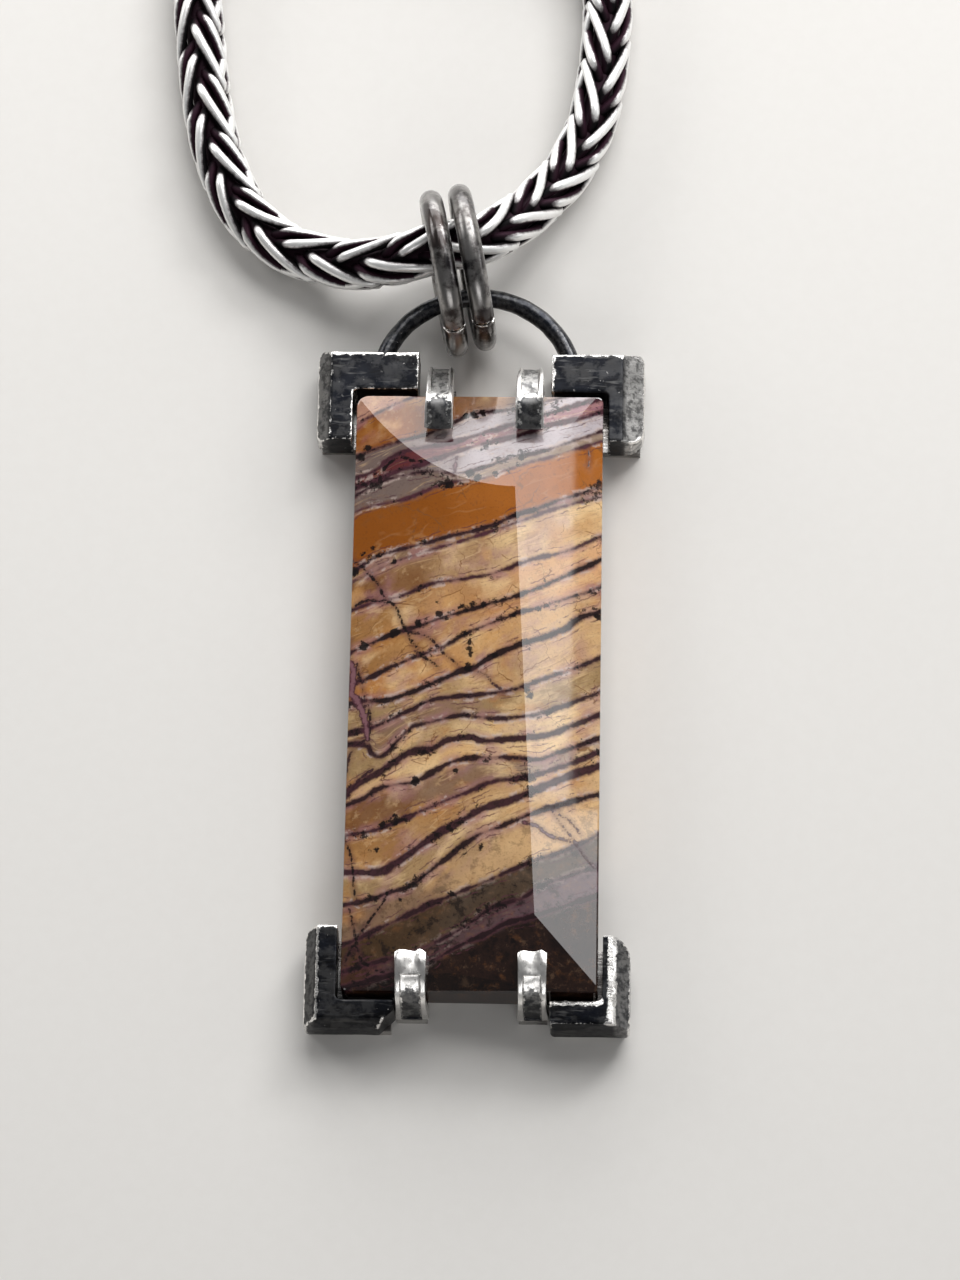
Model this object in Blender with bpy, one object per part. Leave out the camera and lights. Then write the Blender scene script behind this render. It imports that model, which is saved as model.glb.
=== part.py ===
"""A pendant on its chain: a faceted slab of banded rhyolite, held by blackened silver
corners and four silver prongs on a back plate, hung by a wire bail and two jump rings on
a woven silver chain. It lies on its back on a table, its top towards +Y and its face up.
The origin is under the middle of the pendant and its rings, on the table."""

import math

import bmesh
import bpy
from mathutils import Matrix, Vector

MM = 0.001
GAP = 0.3 * MM

# The stone: its corners from the top left, clockwise, about its own centre
STONE_Y = -6.35 * MM
STONE_CORNERS = [(-8.87, 22.45), (8.83, 22.42), (8.88, -22.5), (-8.82, -22.35)]
STONE_CORNER_RADII = [0.9, 0.35, 0.35, 0.5]
STONE_CORNER_STEPS = 3
STONE_TABLE = [(-1.6, 14.6, 5.6), (2.65, 14.65, 5.7), (4.5, -17.3, 5.7), (-1.9, -19.6, 5.2)]
STONE_BASE_Z = 1.2
STONE_BASE_CHAMFER = 0.3
STONE_GIRDLE_Z = 3.9

# The setting
PLATE_THICKNESS = 0.9
PLATE_INSET = 0.6
PAD_INSET = 0.3
BRACKET_BASE_Z = 1.2
BRACKET_TOP_Z = 3.6
BRACKET_BEVEL_DROP = 1.1
BRACKET_END_BEVEL = 0.25
# Each corner: outer x and y, inner x and y, ends of the arms in x and y, top bevel in x and y
BRACKETS = {
    "bracket_top_left": ((-11.8, 26.5), (-9.2, 23.15), (-4.5, 19.2), (1.0, 0.45)),
    "bracket_top_right": ((11.8, 26.3), (9.2, 22.95), (5.1, 19.1), (1.6, 0.4)),
    "bracket_bottom_left": ((-11.4, -24.6), (-9.15, -22.85), (-5.1, -17.5), (0.9, 0.4)),
    "bracket_bottom_right": ((11.1, -24.6), (9.2, -22.85), (5.6, -18.1), (1.2, 0.15)),
}

PRONG_THICKNESS = 0.7
# A prong's middle line from its foot to its tip: out from the stone's end, and height
TOP_PRONG_LINE = [(1.35, 1.2), (1.35, 3.3), (1.2, 4.1), (0.75, 4.75), (-1.2, 5.7), (-3.25, 5.35)]
BOTTOM_PRONG_LINE = [(0.75, 1.2), (0.75, 3.5), (0.6, 4.35), (0.15, 4.95), (-0.7, 5.35), (-2.5, 5.6)]
# Middle in x and width of each prong
PRONGS = {
    "prong_top_left": (-2.87, 1.95, True),
    "prong_top_right": (3.6, 1.95, True),
    "prong_bottom_left": (-3.95, 2.1, False),
    "prong_bottom_right": (4.4, 1.95, False),
}

# The bail: one bow of wire between the upper corners, about the stone's centre
BAIL_WIRE = 1.3
BAIL_CENTRE = (-0.35, 23.65)
BAIL_RADIUS = 7.05
BAIL_Z = 2.95
BAIL_FOOT_Y = 27.2
BAIL_POINTS = 17

# The jump rings stand on edge on the table
RING_WIRE = 1.65
RING_OUTER = 12.2
RING_AXIS = (0.98, 0.19, 0.02)
RINGS = {
    "jump_ring_left": (-2.74, 31.1, 6.13),
    "jump_ring_right": (-0.69, 31.6, 6.13),
}

# The chain, in the object's own frame: the laid length, from the coil through the rings
CHAIN_DIAMETER = 3.7
CHAIN_Z = 1.9
CHAIN_STEP = 4.5
CHAIN_ROUTE = [
    (-21.8, 76.0, CHAIN_Z),
    (-22.0, 66.0, CHAIN_Z),
    (-22.0, 57.0, CHAIN_Z),
    (-21.8, 49.4, CHAIN_Z),
    (-21.3, 44.3, CHAIN_Z),
    (-20.7, 40.1, CHAIN_Z),
    (-19.8, 36.4, CHAIN_Z),
    (-18.2, 32.6, CHAIN_Z),
    (-15.8, 29.7, CHAIN_Z),
    (-12.7, 27.9, 2.3),
    (-9.7, 26.8, 3.4),
    (-7.1, 26.3, 4.8),
    (-5.1, 26.45, 5.7),
    (-3.2, 26.9, 6.05),
    (-1.15, 27.3, 6.05),
    (0.9, 28.3, 5.6),
    (3.0, 30.6, 4.2),
    (4.8, 33.1, 2.9),
    (6.5, 36.0, 2.1),
    (7.9, 39.8, CHAIN_Z),
    (8.6, 44.4, CHAIN_Z),
    (8.8, 49.5, CHAIN_Z),
    (8.0, 54.6, CHAIN_Z),
    (5.4, 58.2, CHAIN_Z),
    (1.5, 60.3, CHAIN_Z),
]
# The coil that holds the rest of the chain's length
COIL_CENTRE = (2.2, 82.75)
COIL_INNER = 12.9
COIL_OUTER = 25.9
COIL_BASE_Z = 0.05
COIL_TOP_Z = 3.75
COIL_EDGE = 0.9
COIL_STEPS = 56

# The chain's ends: where each comes out of the coil's turns, and which way it points
END_ANGLE = 415.0
END_ALONG = 7.6
END_ASIDE = 7.5
CAP_Z = 2.2
CAP_RADIUS = 2.2
CAP_LENGTH = 4.3
CLASP_WIRE = 0.9
EYE_RADIUS = 1.35
HOOK_STRAIGHT = 1.8
HOOK_RADIUS = 1.5
HOOK_TURN = 200.0

FINISHES = {
    "rhyolite": ((0.50, 0.27, 0.11), 0.12, 0.0),
    "blackened_silver": ((0.09, 0.09, 0.10), 0.38, 0.9),
    "worn_silver": ((0.42, 0.41, 0.40), 0.3, 1.0),
    "chain_silver": ((0.45, 0.43, 0.42), 0.3, 1.0),
}


def clear_scene():
    for thing in list(bpy.data.objects):
        bpy.data.objects.remove(thing, do_unlink=True)


def material(node, finish):
    colour, roughness, metallic = FINISHES[finish]
    made = bpy.data.materials.new(node + "_" + finish)
    made.use_nodes = True
    shader = made.node_tree.nodes["Principled BSDF"]
    shader.inputs["Base Color"].default_value = (*colour, 1.0)
    shader.inputs["Roughness"].default_value = roughness
    shader.inputs["Metallic"].default_value = metallic
    return made


def add_piece(name, data, finish, place=None):
    piece = bpy.data.objects.new(name, data)
    bpy.context.scene.collection.objects.link(piece)
    piece.data.materials.append(material(name, finish))
    if place is not None:
        piece.matrix_world = place
    return piece


def finished_mesh(name, shape):
    """A mesh from a bmesh: doubles merged, faces outward, shaded smooth between sharp edges."""
    bmesh.ops.remove_doubles(shape, verts=shape.verts, dist=0.001 * MM)
    bmesh.ops.recalc_face_normals(shape, faces=shape.faces)
    mesh = bpy.data.meshes.new(name)
    shape.to_mesh(mesh)
    shape.free()
    mesh.shade_smooth()
    mesh.set_sharp_from_angle(angle=math.radians(35))
    return mesh


def loft(name, rings):
    """A closed solid through rings of (x, y, z) points in millimetres, flat at both ends."""
    shape = bmesh.new()
    rows = [[shape.verts.new(Vector(point) * MM) for point in ring] for ring in rings]
    count = len(rows[0])
    for low, high in zip(rows, rows[1:]):
        for i in range(count):
            j = (i + 1) % count
            shape.faces.new((low[i], low[j], high[j], high[i]))
    shape.faces.new(reversed(rows[0]))
    shape.faces.new(rows[-1])
    return finished_mesh(name, shape)


def turned(name, profile, steps, ring=True):
    """A solid turned about Z from a profile of (radius, z) in millimetres: a closed one for
    a ring, or one that starts and ends on the axis."""
    shape = bmesh.new()
    start = [shape.verts.new((radius * MM, 0.0, z * MM)) for radius, z in profile]
    ends = start[1:] + start[:1] if ring else start[1:]
    edges = [shape.edges.new(pair) for pair in zip(start, ends)]
    bmesh.ops.spin(
        shape,
        geom=start + edges,
        cent=(0, 0, 0),
        axis=(0, 0, 1),
        angle=math.tau,
        steps=steps,
        use_merge=True,
    )
    return finished_mesh(name, shape)


def wire(name, points, diameter, resolution):
    """A round wire along points in millimetres, closed at both ends."""
    curve = bpy.data.curves.new(name, "CURVE")
    curve.dimensions = "3D"
    curve.bevel_depth = diameter / 2 * MM
    curve.bevel_resolution = resolution
    curve.use_fill_caps = True
    spline = curve.splines.new("POLY")
    spline.points.add(len(points) - 1)
    for spot, point in zip(spline.points, points):
        spot.co = (point[0] * MM, point[1] * MM, point[2] * MM, 1.0)
    return curve


def at_stone(x, y, z=0.0):
    """A point given about the stone's centre, in millimetres, in the object's frame."""
    return (x, y + STONE_Y / MM, z)


def stone_outline(grow=0.0):
    """The stone's outline, with a small arc at each corner, clockwise from the top left."""
    points = []
    count = len(STONE_CORNERS)
    for i, corner in enumerate(STONE_CORNERS):
        here = Vector(corner)
        back = (Vector(STONE_CORNERS[i - 1]) - here).normalized()
        on = (Vector(STONE_CORNERS[(i + 1) % count]) - here).normalized()
        here = here - (back + on) * grow
        radius = STONE_CORNER_RADII[i]
        hub = here + (back + on) * radius
        for step in range(STONE_CORNER_STEPS + 1):
            turn = step / STONE_CORNER_STEPS * math.pi / 2
            points.append(hub - on * radius * math.cos(turn) - back * radius * math.sin(turn))
    return [(p.x, p.y) for p in points]


def make_stone():
    outline = stone_outline()
    narrow = stone_outline(-STONE_BASE_CHAMFER)
    top = [corner for corner in STONE_TABLE for _ in range(STONE_CORNER_STEPS + 1)]
    rings = [
        [at_stone(x, y, STONE_BASE_Z) for x, y in narrow],
        [at_stone(x, y, STONE_BASE_Z + STONE_BASE_CHAMFER) for x, y in outline],
        [at_stone(x, y, STONE_GIRDLE_Z) for x, y in outline],
        [at_stone(x, y, z) for x, y, z in top],
    ]
    add_piece("stone", loft("stone", rings), "rhyolite")


def toward_zero(value, amount):
    return value - math.copysign(amount, value)


def l_shape(outer, inner, ends, inset_x=0.0, inset_y=0.0, inset_end=0.0):
    """The six corners of an L on its corner: outer sides and the arms' ends may be inset."""
    outer_x = toward_zero(outer[0], inset_x)
    outer_y = toward_zero(outer[1], inset_y)
    end_x = ends[0] + math.copysign(inset_end, outer[0])
    end_y = ends[1] + math.copysign(inset_end, outer[1])
    return [
        (outer_x, outer_y),
        (outer_x, end_y),
        (inner[0], end_y),
        (inner[0], inner[1]),
        (end_x, inner[1]),
        (end_x, outer_y),
    ]


def make_brackets():
    for name, (outer, inner, ends, bevel) in BRACKETS.items():
        foot = l_shape(outer, inner, ends)
        top = l_shape(outer, inner, ends, bevel[0], bevel[1], BRACKET_END_BEVEL)
        rings = [
            [at_stone(x, y, BRACKET_BASE_Z) for x, y in foot],
            [at_stone(x, y, BRACKET_TOP_Z - BRACKET_BEVEL_DROP) for x, y in foot],
            [at_stone(x, y, BRACKET_TOP_Z) for x, y in top],
        ]
        add_piece(name, loft(name, rings), "blackened_silver")


def prong_end(name):
    """The y of the stone's end under this prong, and the way out from it."""
    return (STONE_CORNERS[0][1], 1) if PRONGS[name][2] else (STONE_CORNERS[3][1], -1)


def plate_outline():
    """The back plate, clockwise from its top left: a pad at each corner, a tab at each prong."""
    left, right = STONE_CORNERS[3][0] + PLATE_INSET, STONE_CORNERS[1][0] - PLATE_INSET
    high, low = STONE_CORNERS[1][1] - PLATE_INSET, STONE_CORNERS[3][1] + PLATE_INSET

    def pad(name):
        outer, _, ends, _ = BRACKETS[name]
        return (
            toward_zero(outer[0], PAD_INSET),
            toward_zero(outer[1], PAD_INSET),
            ends[0] + math.copysign(PAD_INSET, outer[0]),
            ends[1] + math.copysign(PAD_INSET, outer[1]),
        )

    def tab(name, edge_y, rightward):
        middle, width, _ = PRONGS[name]
        end, out = prong_end(name)
        line = TOP_PRONG_LINE if out > 0 else BOTTOM_PRONG_LINE
        reach = end + out * (line[0][0] + PRONG_THICKNESS / 2)
        first, last = middle - rightward * width / 2, middle + rightward * width / 2
        return [(first, edge_y), (first, reach), (last, reach), (last, edge_y)]

    points = []
    x, y, end_x, end_y = pad("bracket_top_left")
    points += [(left, end_y), (x, end_y), (x, y), (end_x, y), (end_x, high)]
    points += tab("prong_top_left", high, 1) + tab("prong_top_right", high, 1)
    x, y, end_x, end_y = pad("bracket_top_right")
    points += [(end_x, high), (end_x, y), (x, y), (x, end_y), (right, end_y)]
    x, y, end_x, end_y = pad("bracket_bottom_right")
    points += [(right, end_y), (x, end_y), (x, y), (end_x, y), (end_x, low)]
    points += tab("prong_bottom_right", low, -1) + tab("prong_bottom_left", low, -1)
    x, y, end_x, end_y = pad("bracket_bottom_left")
    points += [(end_x, low), (end_x, y), (x, y), (x, end_y), (left, end_y)]
    return points


def make_back_plate():
    outline = plate_outline()
    rings = [[at_stone(x, y, z) for x, y in outline] for z in (0.0, PLATE_THICKNESS)]
    add_piece("back_plate", loft("back_plate", rings), "blackened_silver")


def strip_outline(line, thickness):
    """The side view of a bent strip of this thickness, from its middle line."""
    middle = [Vector(point) for point in line]
    near, far = [], []
    for i, here in enumerate(middle):
        before, after = middle[max(i - 1, 0)], middle[min(i + 1, len(middle) - 1)]
        along = (after - before).normalized()
        across = Vector((-along.y, along.x)) * thickness / 2
        near.append(here + across)
        far.append(here - across)
    return near + far[::-1]


def make_prongs():
    for name, (middle, width, _) in PRONGS.items():
        end, out = prong_end(name)
        line = TOP_PRONG_LINE if out > 0 else BOTTOM_PRONG_LINE
        side = strip_outline(line, PRONG_THICKNESS)
        rings = [
            [at_stone(x, end + out * point.x, point.y) for point in side]
            for x in (middle - width / 2, middle + width / 2)
        ]
        add_piece(name, loft(name, rings), "worn_silver")


def make_bail():
    start = math.asin((BAIL_FOOT_Y - BAIL_CENTRE[1]) / BAIL_RADIUS)
    points = []
    for i in range(BAIL_POINTS):
        turn = math.pi - start - (math.pi - 2 * start) * i / (BAIL_POINTS - 1)
        x = BAIL_CENTRE[0] + BAIL_RADIUS * math.cos(turn)
        y = BAIL_CENTRE[1] + BAIL_RADIUS * math.sin(turn)
        points.append(at_stone(x, y, BAIL_Z))
    add_piece("bail", wire("bail", points, BAIL_WIRE, 3), "blackened_silver")


def circle_profile(radius, wire_radius, sides):
    turns = [math.tau * i / sides for i in range(sides)]
    return [(radius + wire_radius * math.cos(t), wire_radius * math.sin(t)) for t in turns]


def standing(axis, place):
    """The matrix that turns Z to this axis and moves to this place, in millimetres."""
    turn = Vector((0, 0, 1)).rotation_difference(Vector(axis).normalized())
    return Matrix.Translation(Vector(place) * MM) @ turn.to_matrix().to_4x4()


def make_jump_rings():
    middle = (RING_OUTER - RING_WIRE) / 2
    profile = circle_profile(middle, RING_WIRE / 2, 10)
    for name, place in RINGS.items():
        mesh = turned(name, profile, 48)
        add_piece(name, mesh, "blackened_silver", standing(RING_AXIS, at_stone(*place)))


def smooth_route(route):
    """Many points on the smooth curve (Catmull-Rom) through the route."""
    spots = [Vector(point) for point in route]
    spots = [2 * spots[0] - spots[1]] + spots + [2 * spots[-1] - spots[-2]]
    fine = []
    for a, b, c, d in zip(spots, spots[1:], spots[2:], spots[3:]):
        for i in range(20):
            t = i / 20
            fine.append(
                0.5
                * (
                    2 * b
                    + (c - a) * t
                    + (2 * a - 5 * b + 4 * c - d) * t**2
                    + (3 * b - a - 3 * c + d) * t**3
                )
            )
    fine.append(spots[-2])
    return fine


def clear_of_coil(point, along):
    """Whether a tube's flat end at this point stays outside the coil's outer wall."""
    side = Vector((-along.y, along.x, 0.0)).normalized() * CHAIN_DIAMETER / 2
    hub = Vector((*COIL_CENTRE, point.z))
    return min((point + side - hub).length, (point - side - hub).length) > COIL_OUTER + GAP / MM


def spaced(points, step):
    """These points, thinned to about a step apart, with both ends kept."""
    kept, run = [points[0]], 0.0
    for before, here in zip(points, points[1:]):
        run += (here - before).length
        if run >= step:
            kept.append(here)
            run = 0.0
    if (kept[-1] - points[-1]).length < step / 2:
        kept.pop()
    return kept + [points[-1]]


def make_chain_run():
    fine = smooth_route(CHAIN_ROUTE)
    while not clear_of_coil(fine[0], fine[1] - fine[0]):
        fine.pop(0)
    while not clear_of_coil(fine[-1], fine[-1] - fine[-2]):
        fine.pop()
    points = spaced(fine, CHAIN_STEP)
    add_piece("chain_run", wire("chain_run", points, CHAIN_DIAMETER, 2), "chain_silver")


def make_chain_coil():
    profile = [
        (COIL_INNER + COIL_EDGE, COIL_BASE_Z),
        (COIL_OUTER - COIL_EDGE, COIL_BASE_Z),
        (COIL_OUTER, COIL_BASE_Z + COIL_EDGE),
        (COIL_OUTER, COIL_TOP_Z - COIL_EDGE),
        (COIL_OUTER - COIL_EDGE, COIL_TOP_Z),
        (COIL_INNER + COIL_EDGE, COIL_TOP_Z),
        (COIL_INNER, COIL_TOP_Z - COIL_EDGE),
        (COIL_INNER, COIL_BASE_Z + COIL_EDGE),
    ]
    mesh = turned("chain_coil", profile, COIL_STEPS)
    place = Matrix.Translation(Vector((*COIL_CENTRE, 0.0)) * MM)
    add_piece("chain_coil", mesh, "chain_silver", place)


def chain_end(half_turn):
    """Where one end of the chain meets its cap, and the way the cap points."""
    turn = math.radians(END_ANGLE + 180.0 * half_turn)
    out = Vector((-math.cos(turn), math.sin(turn), 0.0))
    on = Vector((math.sin(turn), math.cos(turn), 0.0))
    place = Vector((*COIL_CENTRE, CAP_Z)) + out * END_ALONG + on * END_ASIDE
    return place, -out


def make_clasp():
    """The caps on the chain's two ends, with the clasp's eye on one and its hook on the other."""
    profile = [
        (0.0, 0.0),
        (CAP_RADIUS, 0.0),
        (CAP_RADIUS, CAP_LENGTH - 1.2),
        (CAP_RADIUS * 0.86, CAP_LENGTH - 0.5),
        (CAP_RADIUS * 0.5, CAP_LENGTH - 0.1),
        (0.5, CAP_LENGTH),
        (0.0, CAP_LENGTH),
    ]
    for half_turn, name in enumerate(("end_cap_eye", "end_cap_hook")):
        place, way = chain_end(half_turn)
        mesh = turned(name, profile, 20, ring=False)
        add_piece(name, mesh, "chain_silver", standing(way, place))

    place, way = chain_end(0)
    reach = CAP_LENGTH + GAP / MM + EYE_RADIUS + CLASP_WIRE / 2
    mesh = turned("clasp_eye", circle_profile(EYE_RADIUS, CLASP_WIRE / 2, 8), 24)
    centre = place + way * reach
    add_piece("clasp_eye", mesh, "chain_silver", Matrix.Translation(centre * MM))

    place, way = chain_end(1)
    aside = Vector((-way.y, way.x, 0.0))
    start = place + way * (CAP_LENGTH + GAP / MM)
    turn_at = start + way * HOOK_STRAIGHT
    points = [start, start + way * HOOK_STRAIGHT / 2]
    for i in range(15):
        turn = math.radians(-90.0 + HOOK_TURN * i / 14)
        swing = way * math.cos(turn) + aside * (1.0 + math.sin(turn))
        points.append(turn_at + swing * HOOK_RADIUS)
    add_piece("clasp_hook", wire("clasp_hook", points, CLASP_WIRE, 2), "chain_silver")


def main():
    clear_scene()
    make_stone()
    make_back_plate()
    make_brackets()
    make_prongs()
    make_bail()
    make_jump_rings()
    make_chain_run()
    make_chain_coil()
    make_clasp()


main()
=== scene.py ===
"""The looks of a pendant on its chain: a faceted slab of banded rhyolite in a setting of
blackened silver, hung by a bail and two jump rings on a woven silver chain.

The file is laid out as an add-on: settings, one operator for each piece or group of like
pieces, and a panel that lists them. Lengths in the code are millimetres until the moment
a point is placed, because a goldsmith thinks in millimetres."""

import math

import bmesh
import bpy
import numpy as np
from bpy.props import FloatProperty, FloatVectorProperty, PointerProperty
from mathutils import Matrix, Vector


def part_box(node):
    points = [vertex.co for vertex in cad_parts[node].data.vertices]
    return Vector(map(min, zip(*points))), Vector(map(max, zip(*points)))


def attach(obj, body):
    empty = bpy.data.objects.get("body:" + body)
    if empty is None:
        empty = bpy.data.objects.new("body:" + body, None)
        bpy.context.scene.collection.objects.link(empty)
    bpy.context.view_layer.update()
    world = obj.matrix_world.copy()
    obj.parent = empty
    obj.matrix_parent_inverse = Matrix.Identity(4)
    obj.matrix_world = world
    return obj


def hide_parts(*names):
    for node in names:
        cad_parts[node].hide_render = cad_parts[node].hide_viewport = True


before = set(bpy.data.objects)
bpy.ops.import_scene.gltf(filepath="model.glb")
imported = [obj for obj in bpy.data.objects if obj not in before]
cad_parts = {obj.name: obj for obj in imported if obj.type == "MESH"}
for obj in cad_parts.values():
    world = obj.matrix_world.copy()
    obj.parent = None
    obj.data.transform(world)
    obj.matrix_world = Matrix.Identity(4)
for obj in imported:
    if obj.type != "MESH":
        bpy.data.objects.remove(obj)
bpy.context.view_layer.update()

bl_info = {
    "name": "Banded Rhyolite Pendant",
    "version": (1, 0, 0),
    "blender": (4, 5, 0),
    "location": "View3D > Sidebar > Pendant",
    "description": "Models and finishes a rhyolite pendant around its packed frame",
    "category": "Object",
}

MM = 0.001
UP = (0, 0, 1)
# In metres: how near points are merged, and how near a plane a point counts as on it
MERGE_REACH = 1e-6
CUT_REACH = 1e-7

# The stone, in millimetres about its own centre; corners from the top left, clockwise
STONE_Y = -6.35
STONE_CORNERS = ((-8.87, 22.45), (8.83, 22.42), (8.88, -22.5), (-8.82, -22.35))
CORNER_RADII = (0.9, 0.35, 0.35, 0.5)
RIDGE = ((2.65, 14.65), (4.5, -17.3))
RIDGE_Z = 5.7
RIDGE_SIDE = (31.95, 1.85, 0.0)
GIRDLE_Z = 3.9
BASE_Z = 1.2
BASE_CHAMFER = 0.3
# The left side's dome: an even drop, how late its curve steepens, and where it ends
DOME_DROP = 0.1
DOME_CURVE = 2.2
DOME_END_X = -8.85
# Columns and rows of the sheet the stone starts from, how near the ridge a point is on it,
# and how far an edge is drawn down before it is put in its place
STONE_GRID = (118, 300)
RIDGE_REACH = 0.003
STEP_DOWN = 0.1
# How far the layers lean in x and y with each millimetre of depth
LAYER_LEAN = (-0.1, 0.35)
# The heights of the bands above the first line and below the last
END_BANDS = (3.0, 3.5)
# Each flat facet: a point in it, and its rise in x and y
FACETS = {
    "right": ((2.65, 14.65, 5.7), (-0.29, -0.0168)),
    "top": ((2.65, 14.65, 5.7), (0.0, -0.2311)),
    "bottom": ((4.5, -17.3, 5.7), (-0.0726, 0.1812)),
    "foot": ((-5.0, -22.4, 3.9), (0.06, 1.35)),
}

# The lines between the bands, from the top down: half width, darkness (0 black, 1 grey),
# the rock below the line on the left and on the right, and the line's points
BAND_LINES = (
    (0.032, 0.8, "orange", "stone",
     ((-9.2, 20.0), (-7.55, 20.8), (-6.25, 21.6), (-4.2, 22.6), (0.0, 24.2), (9.2, 27.0))),
    (0.088, 0.25, "ash", "lavender",
     ((-9.25, 17.45), (-7.8, 17.95), (-6.15, 18.4), (-3.8, 19.1), (-1.7, 20.2), (-0.35, 20.9),
      (2.6, 21.35), (5.7, 22.3), (9.2, 23.4))),
    (0.128, 0.75, "rose", "blush",
     ((-9.1, 15.95), (-7.6, 16.3), (-6.0, 17.4), (-4.2, 17.9), (-2.05, 18.35), (0.5, 19.3),
      (2.9, 20.2), (5.75, 21.3), (9.2, 22.5))),
    (0.136, 0.85, "ash", "lavender",
     ((-9.1, 15.1), (-7.4, 15.55), (-5.6, 16.2), (-4.0, 16.55), (-1.5, 17.6), (0.5, 18.35),
      (2.65, 18.95), (4.6, 19.8), (7.2, 20.55), (9.2, 21.6))),
    (0.056, 0.35, "ash", "stone",
     ((-9.1, 14.5), (-7.75, 15.05), (-6.45, 15.6), (-3.6, 15.95), (-1.45, 15.75), (0.55, 16.3),
      (2.25, 17.05), (4.65, 17.7), (6.85, 18.8), (9.2, 20.0))),
    (0.024, 0.95, "orange", "ember",
     ((-9.1, 13.0), (-8.05, 13.55), (-5.2, 13.95), (-2.7, 14.85), (-1.4, 15.1), (0.55, 15.35),
      (2.25, 16.15), (4.8, 17.1), (6.35, 17.85), (9.2, 19.2))),
    (0.072, 0.3, "clay", "stone",
     ((-9.1, 8.5), (-7.35, 9.55), (-6.35, 9.9), (-3.85, 10.4), (-2.1, 10.85), (0.65, 11.5),
      (2.95, 12.5), (6.05, 14.1), (9.2, 15.6))),
    (0.028, 0.9, "rust", "cream",
     ((-9.1, 7.8), (-7.2, 8.6), (-5.4, 9.3), (-2.1, 10.2), (0.65, 11.05), (3.0, 11.95),
      (5.45, 13.25), (9.2, 14.8))),
    (0.072, 0.6, "tan", "peach",
     ((-9.1, 5.7), (-7.15, 6.2), (-5.85, 6.4), (-4.5, 6.8), (-3.05, 7.35), (-1.25, 7.55),
      (1.2, 7.95), (2.8, 8.6), (4.4, 9.35), (6.45, 10.15), (9.2, 11.8))),
    (0.088, 0.1, "tan", "peach",
     ((-9.1, 2.5), (-7.4, 3.1), (-5.8, 3.7), (-4.05, 4.15), (-2.0, 4.8), (0.95, 5.65), (3.45, 6.5),
      (6.5, 8.3), (9.2, 10.0))),
    (0.072, 0.2, "amber", "sand",
     ((-9.1, 0.1), (-7.6, 0.45), (-6.1, 1.1), (-4.0, 1.9), (-2.4, 2.4), (-0.7, 3.4), (0.8, 4.05),
      (4.45, 5.55), (7.85, 7.15), (9.2, 7.9))),
    (0.176, 0.12, "khaki", "sand",
     ((-9.1, -1.3), (-7.6, -1.2), (-6.05, -1.25), (-3.6, -0.5), (-1.1, 0.55), (-0.15, 0.75),
      (0.85, 1.45), (2.05, 2.1), (4.5, 3.15), (6.2, 4.05), (7.4, 5.15), (9.2, 5.9))),
    (0.104, 0.3, "clay", "khaki",
     ((-9.1, -3.6), (-7.25, -3.25), (-5.6, -2.65), (-3.55, -1.7), (-2.35, -1.35), (0.9, -1.1),
      (3.2, -0.7), (4.55, 0.0), (7.45, 1.45), (9.2, 2.5))),
    (0.096, 0.3, "khaki", "cream",
     ((-9.1, -4.3), (-7.5, -4.5), (-7.05, -5.15), (-6.45, -5.45), (-5.7, -4.85), (-4.4, -3.5),
      (-3.3, -3.15), (-0.85, -2.7), (0.9, -2.9), (2.6, -2.9), (4.55, -2.55), (7.45, -1.1),
      (9.2, -0.2))),
    (0.176, 0.4, "sand", "cream",
     ((-9.1, -8.35), (-8.35, -7.6), (-5.9, -6.25), (-4.45, -5.3), (-2.75, -5.05), (-1.8, -4.55),
      (-0.3, -4.3), (1.15, -4.6), (4.6, -4.2), (6.3, -3.45), (9.2, -1.85))),
    (0.12, 0.25, "rust", "stone",
     ((-9.1, -8.95), (-7.6, -8.45), (-6.35, -7.75), (-3.9, -7.4), (-1.75, -6.25), (-0.3, -5.9),
      (2.65, -5.85), (4.6, -5.9), (6.05, -5.2), (9.2, -3.6))),
    (0.112, 0.55, "tan", "sand",
     ((-9.1, -11.1), (-6.7, -10.85), (-5.2, -10.35), (-2.65, -9.3), (-0.25, -8.35), (1.5, -7.6),
      (3.65, -7.35), (6.3, -6.2), (9.2, -4.7))),
    (0.208, 0.5, "khaki", "sand",
     ((-9.1, -13.75), (-6.6, -13.95), (-5.35, -13.5), (-2.6, -11.6), (-0.7, -10.5), (0.75, -9.65),
      (3.7, -8.6), (6.3, -7.15), (9.2, -5.7))),
    (0.136, 0.2, "clay", "sand",
     ((-9.1, -16.2), (-7.6, -16.05), (-5.3, -15.45), (-4.0, -15.0), (-1.8, -13.3), (0.3, -11.65),
      (2.7, -10.65), (7.1, -8.7), (9.2, -7.9))),
    (0.096, 0.3, "olive", "slate",
     ((-9.1, -19.1), (-7.65, -18.7), (-3.95, -17.05), (-1.55, -16.0), (1.15, -14.9), (3.55, -13.75),
      (6.85, -12.25), (9.2, -10.8))),
    (0.096, 0.25, "umber", "smoke",
     ((-9.1, -21.1), (-5.4, -20.25), (-2.9, -19.5), (-0.5, -18.3), (1.65, -16.8), (3.75, -16.1),
      (5.2, -15.0), (9.2, -13.2))),
    (0.112, 0.15, "soot", "soot",
     ((-9.1, -22.3), (-5.15, -21.4), (-2.4, -20.5), (-0.7, -19.55), (0.95, -18.8), (2.85, -17.85),
      (4.7, -17.3), (9.2, -15.3))),
)
TOP_ROCK = ("peach", "mauve")

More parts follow.
